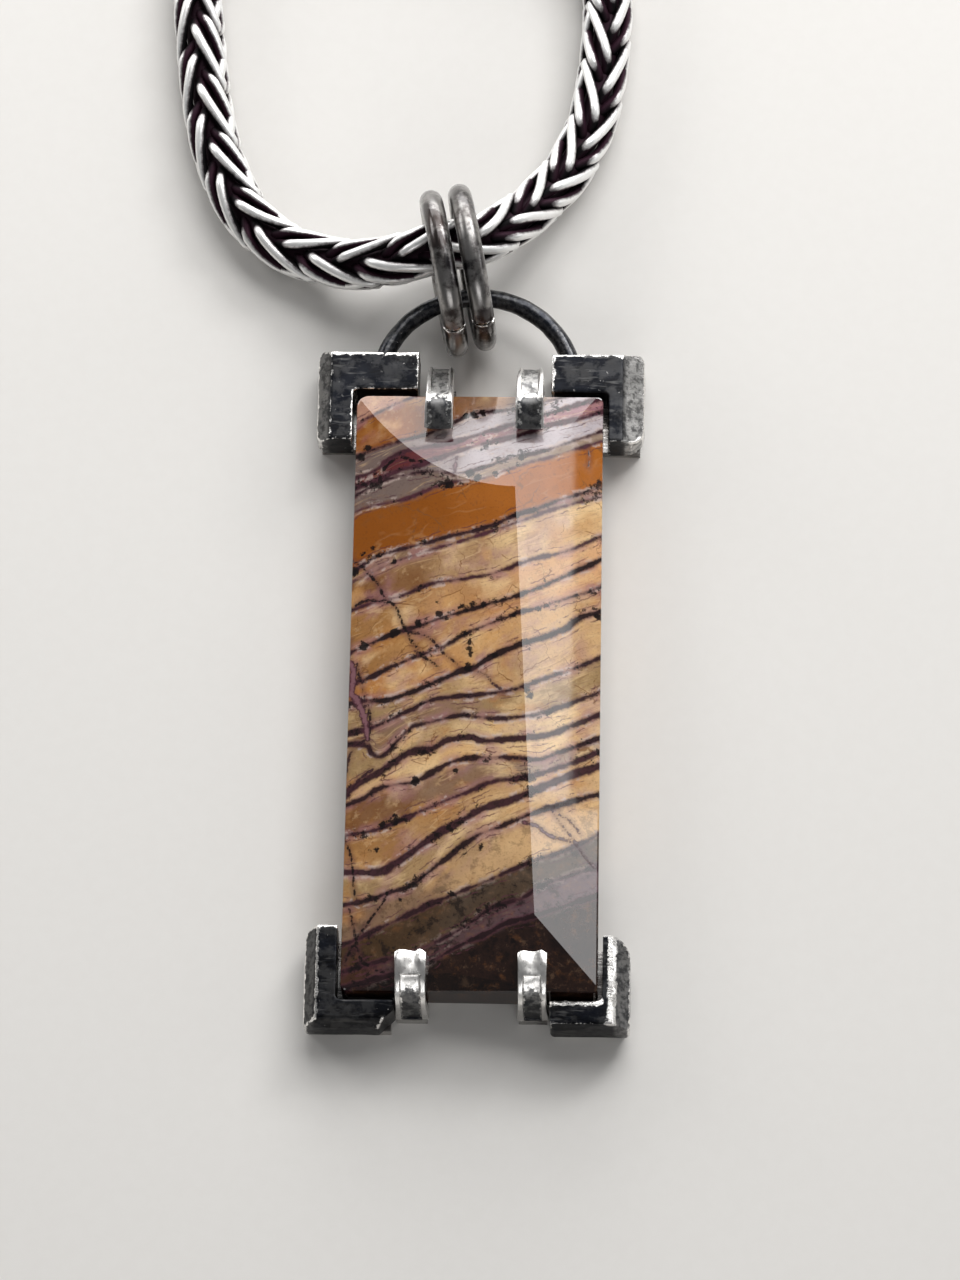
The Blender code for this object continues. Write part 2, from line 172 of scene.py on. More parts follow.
# Cracks and veins that cross the bands: half width, darkness, points
CRACKS = (
    (0.07, 0.0, ((-8.95, 9.65), (-8.2, 9.05), (-7.05, 7.7), (-6.35, 6.3), (-5.7, 5.8),
                 (-5.2, 4.6), (-4.8, 3.75), (-4.4, 2.95), (-3.6, 1.85), (-2.5, 1.0))),
    (0.05, 0.1, ((-4.8, 3.75), (-3.8, 3.55), (-2.95, 3.0), (-2.4, 2.3), (-1.15, 1.1))),
    (0.05, 0.3, ((0.1, 0.65), (0.85, 0.25), (1.35, -0.3), (1.85, -0.75))),
    (0.24, 0.75, ((-9.05, 3.55), (-9.05, 2.05), (-8.6, 1.45), (-8.5, 0.4), (-8.65, -0.4),
                  (-8.15, -1.2), (-7.75, -2.1), (-7.5, -3.15), (-7.35, -4.15))),
    (0.06, 0.1, ((-8.3, 1.65), (-8.0, 0.35), (-7.6, -1.1), (-7.2, -2.8), (-7.35, -4.2))),
    (0.07, 0.2, ((-7.45, -4.05), (-8.2, -4.5), (-8.65, -5.25), (-8.9, -6.5), (-9.1, -8.2))),
    (0.06, 0.3, ((-7.0, -6.4), (-7.85, -6.9), (-8.4, -7.75), (-8.95, -8.45))),
    (0.05, 0.0, ((-8.9, -11.15), (-8.3, -12.75), (-8.15, -14.25), (-7.9, -15.8))),
    (0.06, 0.0, ((-8.4, -16.25), (-7.95, -18.05), (-7.8, -18.95), (-7.4, -20.25),
                 (-6.75, -20.8), (-5.8, -21.25))),
    (0.05, 0.0, ((-5.7, -15.45), (-6.05, -16.3), (-6.85, -17.4), (-7.8, -18.7))),
    (0.05, 0.0, ((-8.0, -19.2), (-8.4, -20.05), (-8.65, -21.3))),
    (0.09, 0.6, ((3.7, -10.65), (4.7, -10.9), (5.4, -11.4), (6.75, -11.75))),
    (0.06, 0.5, ((5.65, -9.7), (6.35, -10.65), (7.1, -11.55), (8.0, -12.85), (8.8, -13.6))),
    (0.05, 0.6, ((6.1, -9.85), (6.85, -10.25), (7.6, -11.1))),
    (0.08, 0.0, ((-6.75, 16.35), (-6.35, 16.85), (-5.65, 17.2), (-4.9, 17.0), (-4.1, 16.75))),
    (0.08, 0.7, ((-1.55, 17.15), (-1.65, 16.45), (-1.7, 15.6))),
    (0.08, 0.1, ((-8.5, 6.1), (-7.75, 6.4), (-6.25, 6.15))),
    (0.04, 0.2, ((7.8, 18.2), (7.9, 17.5), (7.8, 16.9))),
)

# Dark specks grown along the lines: x, y, radius
SPECKS = (
    (-2.05, 14.8, 0.32), (-1.0, 20.7, 0.26), (-0.4, 20.8, 0.33), (0.2, 20.95, 0.26),
    (-8.05, 18.2, 0.25), (-8.45, 17.5, 0.3), (-5.65, 3.75, 0.35), (-4.1, 4.45, 0.25),
    (-2.5, 5.1, 0.25), (-1.0, 5.5, 0.21), (-0.25, 5.65, 0.21), (0.6, 5.65, 0.18),
    (-3.45, 4.65, 0.15), (-7.9, 3.0, 0.35), (-2.65, 5.9, 0.14), (-0.3, 2.75, 0.24),
    (-0.3, 2.35, 0.24), (-0.25, 2.0, 0.21), (-0.7, 3.5, 0.2), (-0.4, 0.95, 0.32),
    (1.45, 1.8, 0.21), (8.6, 5.3, 0.25), (3.75, -0.8, 0.21), (3.95, -1.2, 0.21),
    (-3.9, -7.4, 0.35), (-5.25, -10.0, 0.21), (-5.25, -10.45, 0.21), (-6.2, -10.45, 0.21),
    (-4.2, -12.25, 0.14), (-7.0, -12.35, 0.13), (-6.55, -12.35, 0.13), (-0.5, -12.9, 0.18),
    (0.7, -12.35, 0.23), (-1.25, -15.75, 0.23), (-4.8, -16.1, 0.14), (3.0, -19.15, 0.18),
    (-6.95, 9.8, 0.25), (-8.05, 10.0, 0.17), (-7.4, 10.4, 0.17), (-5.9, 9.2, 0.21),
    (-8.65, 8.75, 0.35), (-0.55, 15.7, 0.33), (-0.05, 15.4, 0.3), (1.2, 15.75, 0.23),
    (3.1, 17.1, 0.26), (4.75, 17.6, 0.18), (-8.1, -1.05, 0.18), (4.6, 5.45, 0.15),
    (3.55, 2.95, 0.21), (-1.2, -6.8, 0.18),
)

# The rock's colours, as a display shows them, from 0 to 255
ROCK = {
    "cream": (224, 190, 142),
    "peach": (208, 160, 116),
    "sand": (200, 162, 116),
    "tan": (152, 108, 62),
    "khaki": (150, 122, 84),
    "clay": (126, 98, 76),
    "stone": (146, 126, 108),
    "amber": (172, 114, 56),
    "honey": (202, 154, 96),
    "orange": (134, 72, 6),
    "ember": (164, 94, 26),
    "rust": (116, 74, 40),
    "olive": (64, 46, 28),
    "umber": (62, 38, 26),
    "soot": (34, 20, 15),
    "slate": (74, 62, 52),
    "smoke": (94, 74, 80),
    "ash": (110, 94, 88),
    "rose": (94, 40, 42),
    "blush": (150, 106, 114),
    "mauve": (146, 126, 128),
    "lavender": (186, 176, 180),
    "black": (16, 9, 9),
    "plum": (78, 42, 52),
    "fringe": (196, 176, 166),
}

# Where patterns lie along the stone, counted in bands from the top
WARM_BANDS = ((7.1, 19.5), (0.2, 1.7))
ORANGE_BAND = (6.1, 6.9)
STRATA_BANDS = (1.9, 19.4)
HAIRLINE_BANDS = (5.9, 18.4)
# Clouds in the warm bands: rock, drift, the noise where each starts and is full, and strength
CLOUDS = (
    ("cream", 0.0, 0.5, 0.68, 0.62),
    ("amber", 4.0, 0.52, 0.7, 0.55),
    ("blush", 9.0, 0.5, 0.68, 0.5),
    ("honey", 14.0, 0.54, 0.68, 0.5),
)
# Fine strata: how close they lie, their rock and their strength
STRATA = ((3.1, "rust", 0.3), (5.5, "plum", 0.22), (2.2, "cream", 0.3))

# The setting, in millimetres about the stone's centre
BRACKET_FOOT_Z = 0.9
BRACKET_TOP_Z = 3.6
BRACKET_BEVEL_DROP = 1.1
BRACKET_INNER_ROUND = 0.35
SLOPE_START = 0.25
# An upright edge of a bracket is taller than this
UPRIGHT_LEAST = 1.0
# How near a place is to one of a bracket's edges, and how near to its top to be a crest
EDGE_REACH = 0.12
CREST_DEPTH = 0.15
FAR_OFF = 9.0
# Each corner: outer x and y, inner x and y, ends of the arms in x and y, top slopes in x and y,
# roundings of the outer corner and of the two arms' ends, how bright the x slope is rubbed,
# and how far back from bright each of its edges is, in millimetres
BRACKETS = {
    "bracket_top_left": {
        "outer": (-11.8, 26.5), "inner": (-9.2, 23.15), "ends": (-4.5, 19.2),
        "slopes": (1.0, 0.45), "rounds": (0.75, 0.7, 0.3), "rub": 0.2,
        "wear": {"crest_y": -0.06, "outer_y": 0.04, "crest_x": 0.16, "outer_x": 0.04,
                 "inner_x": 0.08, "inner_y": 0.13, "end_x": 0.06, "end_y": 0.08},
    },
    "bracket_top_right": {
        "outer": (11.8, 26.3), "inner": (9.2, 22.95), "ends": (5.1, 19.1),
        "slopes": (1.6, 0.4), "rounds": (0.6, 1.35, 0.35), "rub": 0.6,
        "wear": {"crest_y": 0.04, "outer_y": 0.08, "crest_x": 0.4, "outer_x": -0.05,
                 "end_x": -0.03, "end_y": 0.1},
    },
    "bracket_bottom_left": {
        "outer": (-11.4, -24.6), "inner": (-9.15, -22.85), "ends": (-5.1, -17.5),
        "slopes": (0.9, 0.4), "rounds": (0.4, 0.75, 1.1), "rub": 0.12,
        "wear": {"crest_x": 0.06, "outer_x": 0.03, "end_y": 0.0},
    },
    "bracket_bottom_right": {
        "outer": (11.1, -24.6), "inner": (9.2, -22.85), "ends": (5.6, -18.1),
        "slopes": (1.2, 0.15), "rounds": (0.3, 1.3, 0.3), "rub": 0.22,
        "wear": {"crest_x": -0.2, "outer_x": 0.05, "inner_y": -0.16, "end_y": 0.08,
                 "end_x": 0.14, "crest_y": 0.16},
    },
}
# How deep file marks look
MARK_DEPTH = 0.02
# How far back from bright a bracket's other edges and its corners' are, how high above the
# foot wear starts, and how many degrees make an edge
UNWORN = 0.5
CORNER_WEAR = 0.3
WORN_ABOVE = 0.5
SHARP = 18
PRONG_THICKNESS = 0.7
# A prong's middle line from its foot to its tip: out from the stone's end, and height
TOP_PRONG_LINE = (
    (2.3, 0.9), (2.3, 2.8), (2.1, 3.6), (1.4, 4.3), (-0.7, 5.5), (-1.2, 5.8),
    (-1.75, 5.68), (-3.2, 5.2),
)
BOTTOM_PRONG_LINE = (
    (0.75, 0.9), (0.75, 3.5), (0.6, 4.35), (0.15, 4.95), (-0.7, 5.42), (-1.7, 5.58), (-2.45, 5.5),
)
PRONG_RAIL = 0.36
PRONG_PRESS = 0.15
# How far in over the stone the pressed strip reaches, on the bottom prongs and the top ones
PRESSED_TO = (-1.0, -0.6)
# The foot of a prong is this much wider on each side up to this height, bottom and top
PRONG_FLARE = (0.15, -0.2)
FLARE_TO_Z = (1.0, 3.7)
# The corners of a tip are drawn back, and a bottom tip's corners and groove are drawn down
TIP_BACK = (0.22, 0.12)
TIP_DOWN = 0.12
GROOVE_BACK = 0.16
GROOVE_DOWN = 0.2
# A top prong is crumpled above this height, in waves along x and y
CRUMPLE_Z = 5.6
CRUMPLE = 0.12
CRUMPLE_WAVES = (5.0, 7.0)
ROW_REACH = 0.05
# A top prong is brightest at its knuckle, out from the stone's end and up, and dark on its tip
KNUCKLE = (-0.95, 5.9)
TIP_FROM = -1.35
TIP_WEAR = 0.16
BOTTOM_CREST_Z = 5.35
# How far onto its rails a prong is bright, as a share of a rail
RAIL_WORN = 0.8
# How rubbed a top prong's open face is: the most, where it starts and over what length, and the
# least. Then a bottom prong's most, and from what height
TOP_RUB = 0.5
TOP_RUB_FROM = -0.9
TOP_RUB_OVER = 0.4
TOP_RUB_LEAST = 0.12
BOTTOM_RUB = 0.6
BOTTOM_RUB_FROM_Z = 4.2
PRONG_GROOVE = {"prong_bottom_left": 0.35, "prong_bottom_right": 0.05}
# Middle in x, width, and the y of the stone's end under it
PRONGS = {
    "prong_top_left": (-2.87, 1.95, 22.45),
    "prong_top_right": (3.6, 1.95, 22.45),
    "prong_bottom_left": (-3.95, 2.1, -22.35),
    "prong_bottom_right": (4.4, 1.95, -22.35),
}
BAIL_WIRE = 1.3
BAIL_CENTRE = (-0.35, 23.65)
BAIL_RADIUS = 7.05
BAIL_Z = 2.95
BAIL_FOOT_Y = 25.7
RING_WIRE = 1.65
RING_OUTER = 12.2
RING_AXIS = (0.98, 0.19, 0.02)
WIRE_ROUND = 0.07

# The chain, in the object's own frame
CHAIN_Z = 1.9
CHAIN_ROUTE = (
    (-21.8, 76.0, CHAIN_Z),
    (-22.0, 66.0, CHAIN_Z),
    (-22.0, 57.0, CHAIN_Z),
    (-21.8, 49.4, CHAIN_Z),
    (-21.3, 44.3, CHAIN_Z),
    (-20.7, 40.1, CHAIN_Z),
    (-19.8, 36.4, CHAIN_Z),
    (-18.2, 32.6, CHAIN_Z),
    (-15.8, 29.7, CHAIN_Z),
    (-12.7, 27.9, 2.3),
    (-9.7, 26.8, 3.4),
    (-7.1, 26.3, 4.8),
    (-5.1, 26.45, 5.7),
    (-3.2, 26.9, 6.05),
    (-1.15, 27.3, 6.05),
    (0.9, 28.3, 5.6),
    (3.0, 30.6, 4.2),
    (4.8, 33.1, 2.9),
    (6.5, 36.0, 2.1),
    (7.9, 39.8, CHAIN_Z),
    (8.6, 44.4, CHAIN_Z),
    (8.8, 49.5, CHAIN_Z),
    (8.0, 54.6, CHAIN_Z),
    (5.4, 58.2, CHAIN_Z),
    (1.5, 60.3, CHAIN_Z),
)
COIL_CENTRE = (2.2, 82.75)
COIL_PITCH = 7.7
COIL_STEP = 12.0
# Each strand in the coil: its radius at angle 0, its first and last angle
FIRST_STRAND = (24.0, 0.0, 415.0)
SECOND_STRAND = (20.15, -75.0, 235.0)
CURL_RADIUS = 7.5
CURL_OUT = 7.6
CURL_STEPS = 5
CAP_Z = 2.2
CAP_LENGTH = 4.3
CAP_NECK = 0.35
# A cap's turned outline from the chain outward: radius and height
CAP_PROFILE = (
    (1.95, 0.0), (2.2, 0.08), (2.2, 0.5), (2.05, 0.62), (2.05, 0.82), (2.2, 0.94),
    (2.2, 1.1), (2.1, 1.2), (2.1, 2.7), (2.2, 2.8), (2.2, 3.05), (2.08, 3.3),
    (1.7, 3.75), (1.15, 4.1), (0.6, 4.25), (0.52, CAP_LENGTH), (0.5, CAP_LENGTH + CAP_NECK),
)
CLASP_GAP = 0.3
CLASP_WIRE = 0.9
CLASP_SIDES = 16
EYE_RADIUS = 1.35
EYE_FLATTENED = 0.85
HOOK_STRAIGHT = 1.8
HOOK_RADIUS = 1.5
HOOK_TURN = 200.0
HOOK_TIP_ROUND = 0.12

# The weave: pairs of wires that start at the middle of a face and run out to its side.
# Angles are in degrees round the chain, from the middle of the face.
WEAVE_PITCH = 5.0
WEAVE_ROLL = 18.0
ARM_LENGTH = 6.6
ARM_WIRE = 0.38
ARM_RADIUS = 1.5
ARM_START = 8.0
ARM_TURN = 98.0
PAIR_ANGLE = 14.5
PAIR_SWELL = 5.5
PAIR_LEAD = 0.35
# How deep a wire dives under the others at its start and its end, for which share of its
# length, and the shares over which its start is blunt and its end thins
START_DIVE = (0.8, 0.26)
END_DIVE = (0.5, 0.13)
BLUNT_SHARE = 0.06
THIN_SHARE = 0.1
# The shortest wire that is woven in, as a share of a whole one
SHORTEST_ARM = 0.3
# Painted shade and highlight on a wire: how dark it is painted midway round it, how much lighter
# its outer side is painted, how much darker it is painted in a dive of full depth and along that
# dive, and how much darker toward its pair's other wire, where shade falls in the gap
WIRE_SHADE = 0.36
OUTER_HIGHLIGHT = 0.6
DIVE_SHADE = 0.75
FULL_DIVE = 0.6
DIVE_CURVE = 1.3
GAP_SHADE = 0.22
# Rings along a wire and points round it, in the view's part of the chain and past it
SEEN_Y = 53.0
SEEN_WIRE = (22, 14)
PAST_WIRE = (9, 7)
END_MARGIN = 0.2
# The core: a tube inside the wires, painted black as the shade within the weave
CORE_RADIUS = 0.98
CORE_STEP = 1.1
CORE_SIDES = 10
PATH_STEPS = 10

# How each silver is finished: how wide its edges are rubbed and how much of its open face, how
# its file marks are drawn out along x, y and z, and how dull it is. The rest is the size, the
# colour and the shine of its tarnish, where they aren't as usual.
SILVERS = {
    "clasp_silver": {
        "edge_width": 0.25, "open_share": 0.9, "brushing": (1.5, 1.5, 0.4), "rough": 0.18,
    },
    "filed_silver": {
        "edge_width": 0.2, "open_share": 0.03, "brushing": (0.25, 1.3, 0.5), "rough": 0.2,
        "tarnish": (0.0045, 0.005, 0.0065), "sheen": 0.4,
    },
    "bent_silver": {
        "edge_width": 0.16, "open_share": 0.2, "brushing": (1.2, 0.12, 0.4), "rough": 0.26,
    },
    "bail_silver": {
        "edge_width": 0.12, "open_share": 0.06, "brushing": (0.9, 0.9, 0.9), "rough": 0.2,
        "clouds": 2.2, "sheen": 2.0,
    },
    "ring_silver": {
        "edge_width": 0.1, "open_share": 0.3, "brushing": (0.5, 0.12, 0.12), "rough": 0.17,
        "clouds": 0.5, "tarnish": (0.022, 0.017, 0.016), "sheen": 3.4,
    },
}

# The camera, in metres and degrees, as fitted to the view from the pendant's lower end
CAMERA_PLACE = (0.0122, -0.13185, 0.3317)
CAMERA_TURN = (21.52, 1.65, 1.08)
CAMERA_SENSOR = (27.0, 36.0)
CAMERA_LENS = 140.625
CAMERA_NEAR = 0.01

# Each light, in millimetres: its place, the way it faces away from, its spin in degrees, its
# width and height, and its radiance. The sky window's edge is set so that its glare ends part
# of the way across the stone's right facet.
LIGHTS = (
    ("sky_window", (78, 287, 332), (200, 150, 320), -31.2, (330, 224), 4.3),
    ("sky_window_low", (199, 113, 338), (200, 150, 320), -31.2, (40, 100), 4.3),
    ("sky_window_high", (-79, 346, 402), (200, 150, 320), -31.2, (245, 115), 4.6),
    ("key_window", (250, 330, 270), (250, 330, 270), 0.0, (130, 130), 16.0),
    ("low_window", (-20, 400, 100), (-20, 400, 100), 0.0, (420, 190), 4.5),
    ("left_window", (-330, 250, 170), (-330, 250, 170), 0.0, (160, 130), 6.0),
    ("right_window", (340, 70, 130), (340, 70, 130), 0.0, (150, 120), 2.0),
    ("front_fill", (60, -420, 260), (60, -420, 260), 0.0, (320, 160), 2.6),
)
ROOM_COLOUR = (0.97, 0.98, 1.0, 1.0)
FLOOR_SIZE = 3.0
FLOOR_FLECK = (0.6, 0.57, 0.53)

# Shape


def linear(shown):
    """A colour as a display shows it, from 0 to 255, as the renderer counts it."""
    return tuple(((v / 255 + 0.055) / 1.055) ** 2.4 if v > 10 else v / 3294.6 for v in shown)


def at_stone(x, y, z):
    """A point given about the stone's centre, in millimetres, in the object's frame."""
    return Vector((x, y + STONE_Y, z)) * MM


def deselect():
    """Leaves nothing selected, because an operator acts on all that is."""
    bpy.ops.object.select_all(action="DESELECT")


def named(name):
    """The object that an operator has just added, under its own name."""
    piece = bpy.context.object
    piece.name = name
    piece.data.name = name
    return piece


def choose(kind, test):
    """Selects in edit mode the vertices, edges or faces that pass the test, at least one."""
    bpy.ops.mesh.select_all(action="DESELECT")
    bpy.ops.mesh.select_mode(type=kind)
    shape = bmesh.from_edit_mesh(bpy.context.object.data)
    parts = {"VERT": shape.verts, "EDGE": shape.edges, "FACE": shape.faces}[kind]
    for part in parts:
        part.select_set(bool(test(part)))
    if not any(part.select for part in parts):
        raise RuntimeError("Nothing on " + bpy.context.object.name + " passes the test")
    shape.select_flush_mode()
    bmesh.update_edit_mesh(bpy.context.object.data)


def is_at(vertex, places):
    """Whether the vertex is at one of these places."""
    return min((vertex.co - place).length for place in places) < MERGE_REACH


def cut(point, normal, trim=False):
    """Cuts the whole mesh by a plane. With trim, the side that the normal points to goes."""
    # The operator keeps each part of a normal between -1 and 1, so its length is made 1 first
    facing = Vector(normal).normalized()
    bpy.ops.mesh.select_all(action="SELECT")
    bpy.ops.mesh.bisect(
        plane_co=point, plane_no=facing, use_fill=trim, clear_outer=trim, threshold=CUT_REACH
    )


def score(piece, step):
    """Cuts all faces by an even lattice of planes, so that patterns can follow the shape."""
    corners = [Vector(corner) for corner in piece.bound_box]
    bpy.ops.object.mode_set(mode="EDIT")
    for axis in range(3):
        low = min(corner[axis] for corner in corners)
        high = max(corner[axis] for corner in corners)
        count = int((high - low) / (step * MM))
        normal = Vector((0, 0, 0))
        normal[axis] = 1
        for i in range(1, count):
            cut(normal * (low + (high - low) * i / count), normal)
    bpy.ops.object.mode_set(mode="OBJECT")


def modify(piece, kind, **settings):
    """Adds a modifier with these settings and applies it."""
    modifier = piece.modifiers.new(kind.title(), kind)
    for name, value in settings.items():
        setattr(modifier, name, value)
    bpy.context.view_layer.objects.active = piece
    bpy.ops.object.modifier_apply(modifier=modifier.name)


def settle(piece, degrees):
    """Puts the object's place into its mesh, turns its faces outward and shades it."""
    deselect()
    piece.select_set(True)
    bpy.context.view_layer.objects.active = piece
    bpy.ops.object.transform_apply(location=True, rotation=True, scale=True)
    bpy.ops.object.mode_set(mode="EDIT")
    bpy.ops.mesh.select_all(action="SELECT")
    bpy.ops.mesh.remove_doubles(threshold=MERGE_REACH)
    bpy.ops.mesh.normals_make_consistent(inside=False)
    bpy.ops.object.mode_set(mode="OBJECT")
    bpy.ops.object.shade_smooth_by_angle(angle=math.radians(degrees))


def stand_for(piece, nodes, finish):
    """Gives the piece its finish, hangs it on the root and hides the nodes that it stands for."""
    piece.data.materials.clear()
    piece.data.materials.append(finish)
    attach(piece, "root")
    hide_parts(*nodes)


def points_of(piece):
    """The piece's vertices in millimetres."""
    flat = np.empty(len(piece.data.vertices) * 3)
    piece.data.vertices.foreach_get("co", flat)
    return flat.reshape(-1, 3) / MM


def put_points(piece, points):
    """Moves the piece's vertices to these places, in millimetres."""
    piece.data.vertices.foreach_set("co", (points * MM).ravel())
    piece.data.update()


def store(piece, name, values):
    """Keeps one number for each vertex, for the materials to read."""
    layer = piece.data.attributes.get(name) or piece.data.attributes.new(name, "FLOAT", "POINT")
    layer.data.foreach_set("value", np.asarray(values, np.float32))


def read(piece, name):
    """The numbers that store kept under this name."""
    values = np.empty(len(piece.data.vertices), np.float32)
    piece.data.attributes[name].data.foreach_get("value", values)
    return values


def nearest(points, starts, ends):
    """The distance from each point to the nearest segment, and that segment's number."""
    best = np.full(len(points), 1e9)
    which = np.zeros(len(points), int)
    for i, (a, b) in enumerate(zip(starts, ends)):
        along = b - a
        t = np.clip((points - a) @ along / max(along @ along, 1e-12), 0, 1)
        distance = np.linalg.norm(points - a - t[:, None] * along, axis=1)
        closer = distance < best
        best[closer] = distance[closer]
        which[closer] = i
    return best, which


def mark_edges(piece, sharp):
    """Stores each vertex's distance, in millimetres, to the nearest of these sharp edges."""
    starts, ends = (np.array(side) for side in zip(*sharp))
    store(piece, "edge", nearest(points_of(piece), starts, ends)[0])


def sharp_edges(piece, degrees):
    """The ends, in millimetres, of each edge that bends more than this."""
    shape = bmesh.new()
    shape.from_mesh(piece.data)
    shape.transform(piece.matrix_world)
    found = []
    for edge in shape.edges:
        if len(edge.link_faces) == 2 and edge.calc_face_angle() > math.radians(degrees):
            found.append((np.array(edge.verts[0].co) / MM, np.array(edge.verts[1].co) / MM))
    shape.free()
    return found


def smooth_line(points, steps):
    """Many points on the smooth curve (Catmull-Rom) through the given ones."""
    spots = [np.array(point, float) for point in points]
    spots = [2 * spots[0] - spots[1]] + spots + [2 * spots[-1] - spots[-2]]
    fine = []
    for a, b, c, d in zip(spots, spots[1:], spots[2:], spots[3:]):
        for i in range(steps):
            t = i / steps
            bend = (2 * a - 5 * b + 4 * c - d) * t**2 + (3 * b - a - 3 * c + d) * t**3
            fine.append(0.5 * (2 * b + (c - a) * t + bend))
    fine.append(spots[-2])
    return np.array(fine)


# Shader nodes


def put(tree, kind, values=(), out=0, **settings):
    """Adds one node, sets or links its inputs, and gives back one of its outputs."""
    node = tree.nodes.new("ShaderNode" + kind)
    for name, value in settings.items():
        setattr(node, name, value)
    for spot, value in values.items() if isinstance(values, dict) else enumerate(values):
        if isinstance(value, bpy.types.NodeSocket):
            tree.links.new(value, node.inputs[spot])
        elif value is not None:
            node.inputs[spot].default_value = value
    return node.outputs[out]


def maths(tree, operation, *values):
    """One step of arithmetic on numbers."""
    return put(tree, "Math", values, operation=operation)


def times(tree, a, b):
    """The product of two numbers."""
    return maths(tree, "MULTIPLY", a, b)


def plus(tree, a, b):
    """The sum of two numbers."""
    return maths(tree, "ADD", a, b)


def minus(tree, a, b):
    """The first number less the second."""
    return maths(tree, "SUBTRACT", a, b)


def larger(tree, a, b):
    """The larger of two numbers."""
    return maths(tree, "MAXIMUM", a, b)


def blend(tree, factor, a, b):
    """A mix of two colours."""
    rgba = [(*c, 1.0) if isinstance(c, tuple) and len(c) == 3 else c for c in (a, b)]
    values = {0: factor, 6: rgba[0], 7: rgba[1]}
    return put(tree, "Mix", values, out=2, data_type="RGBA")


def between(tree, value, low, high, to_low=0.0, to_high=1.0):
    """The value, carried smoothly from one range to another."""
    values = (value, low, high, to_low, to_high)
    return put(tree, "MapRange", values, interpolation_type="SMOOTHSTEP")


def noise(tree, place, scale, detail=3.0, rough=0.55, warp=0.0):
    """Cloudy noise from 0 to 1: how fine it is, its layers, and how much each layer counts."""
    values = {
        "Vector": place,
        "Scale": scale,
        "Detail": detail,
        "Roughness": rough,
        "Distortion": warp,
    }
    return put(tree, "TexNoise", values)


def number(tree, name):
    """A number stored on the mesh."""
    return put(tree, "Attribute", out="Fac", attribute_name=name)


def millimetres(tree, stretch=(1.0, 1.0, 1.0)):
    """Object coordinates in millimetres, stretched along each axis."""
    place = put(tree, "TexCoord", out="Object")
    scale = tuple(s / MM for s in stretch)
    return put(tree, "Mapping", {"Vector": place, "Scale": scale})


def new_group(name, inputs, outputs):
    """An empty shader group with these sockets, its tree, and its input and output nodes."""
    tree = bpy.data.node_groups.new(name, "ShaderNodeTree")
    for label, kind, default in inputs:
        socket = tree.interface.new_socket(label, in_out="INPUT", socket_type="NodeSocket" + kind)
        if default is not None:
            socket.default_value = default
    for label, kind in outputs:
        tree.interface.new_socket(label, in_out="OUTPUT", socket_type="NodeSocket" + kind)
    return tree, tree.nodes.new("NodeGroupInput"), tree.nodes.new("NodeGroupOutput")


def use_group(tree, name, values, out):
    """Places a shader group with these inputs, and gives back one output or several."""
    node = tree.nodes.new("ShaderNodeGroup")
    node.node_tree = bpy.data.node_groups[name]
    for spot, value in values.items():
        if isinstance(value, bpy.types.NodeSocket):
            tree.links.new(value, node.inputs[spot])
        else:
            node.inputs[spot].default_value = value
    return node.outputs[out] if isinstance(out, str) else [node.outputs[o] for o in out]


def new_finish(name, **constants):
    """A material, its tree and its Principled shader with these constant values."""
    made = bpy.data.materials.new(name)
    made.use_nodes = True
    shader = made.node_tree.nodes["Principled BSDF"]
    for socket, value in constants.items():
        shader.inputs[socket.replace("_", " ")].default_value = value
    return made, made.node_tree, shader


def bump(tree, shader, height, strength):
    """Fine relief in the surface, as deep as a file mark."""
    values = {"Strength": strength, "Distance": MARK_DEPTH * MM, "Height": height}
    normal = put(tree, "Bump", values)
    tree.links.new(normal, shader.inputs["Normal"])


def make_wear_group():
    """Where an edge is rubbed bright: near it, in a ragged line."""
    tree, given, result = new_group(
        "Worn edge",
        (
            ("Edge", "Float", 1.0),
            ("Width", "Float", 0.15),
            ("Ragged", "Float", 0.12),
            ("Place", "Vector", None),
        ),
        (("Mask", "Float"),),
    )
    wander = noise(tree, given.outputs["Place"], 3.2, 4.0, 0.65)
    shift = times(tree, minus(tree, wander, 0.5), given.outputs["Ragged"])
    reach = plus(tree, given.outputs["Edge"], times(tree, shift, 4.0))
    inner = times(tree, given.outputs["Width"], 0.45)
    mask = between(tree, reach, inner, given.outputs["Width"], 1.0, 0.0)
    tree.links.new(mask, result.inputs["Mask"])


def make_scratch_group():
    """Fine file marks that run one way, with a few deeper ones."""
    tree, given, result = new_group(
        "File marks", (("Place", "Vector", None),), (("Fine", "Float"), ("Deep", "Float"))
    )
    place = given.outputs["Place"]
    fine = noise(tree, place, 5.0, 3.0, 0.7)
    deep = noise(tree, place, 2.2, 2.0, 0.6)
    tree.links.new(between(tree, fine, 0.3, 0.7), result.inputs["Fine"])
    tree.links.new(between(tree, deep, 0.56, 0.68), result.inputs["Deep"])


def make_tarnish_group():
    """Cloudy tarnish: how dark each place is, and its tint between blue and brown."""
    tree, given, result = new_group(
        "Tarnish",
        (("Place", "Vector", None), ("Size", "Float", 1.0)),
        (("Cloud", "Float"), ("Tint", "Float")),
    )
    cloud = noise(tree, given.outputs["Place"], given.outputs["Size"], 5.0, 0.62)
    drift = put(tree, "VectorMath", (given.outputs["Place"], (7.3, 2.1, 5.9)), operation="ADD")
    tint = noise(tree, drift, times(tree, given.outputs["Size"], 0.45), 3.0)
    tree.links.new(between(tree, cloud, 0.35, 0.65), result.inputs["Cloud"])
    tree.links.new(between(tree, tint, 0.38, 0.62), result.inputs["Tint"])


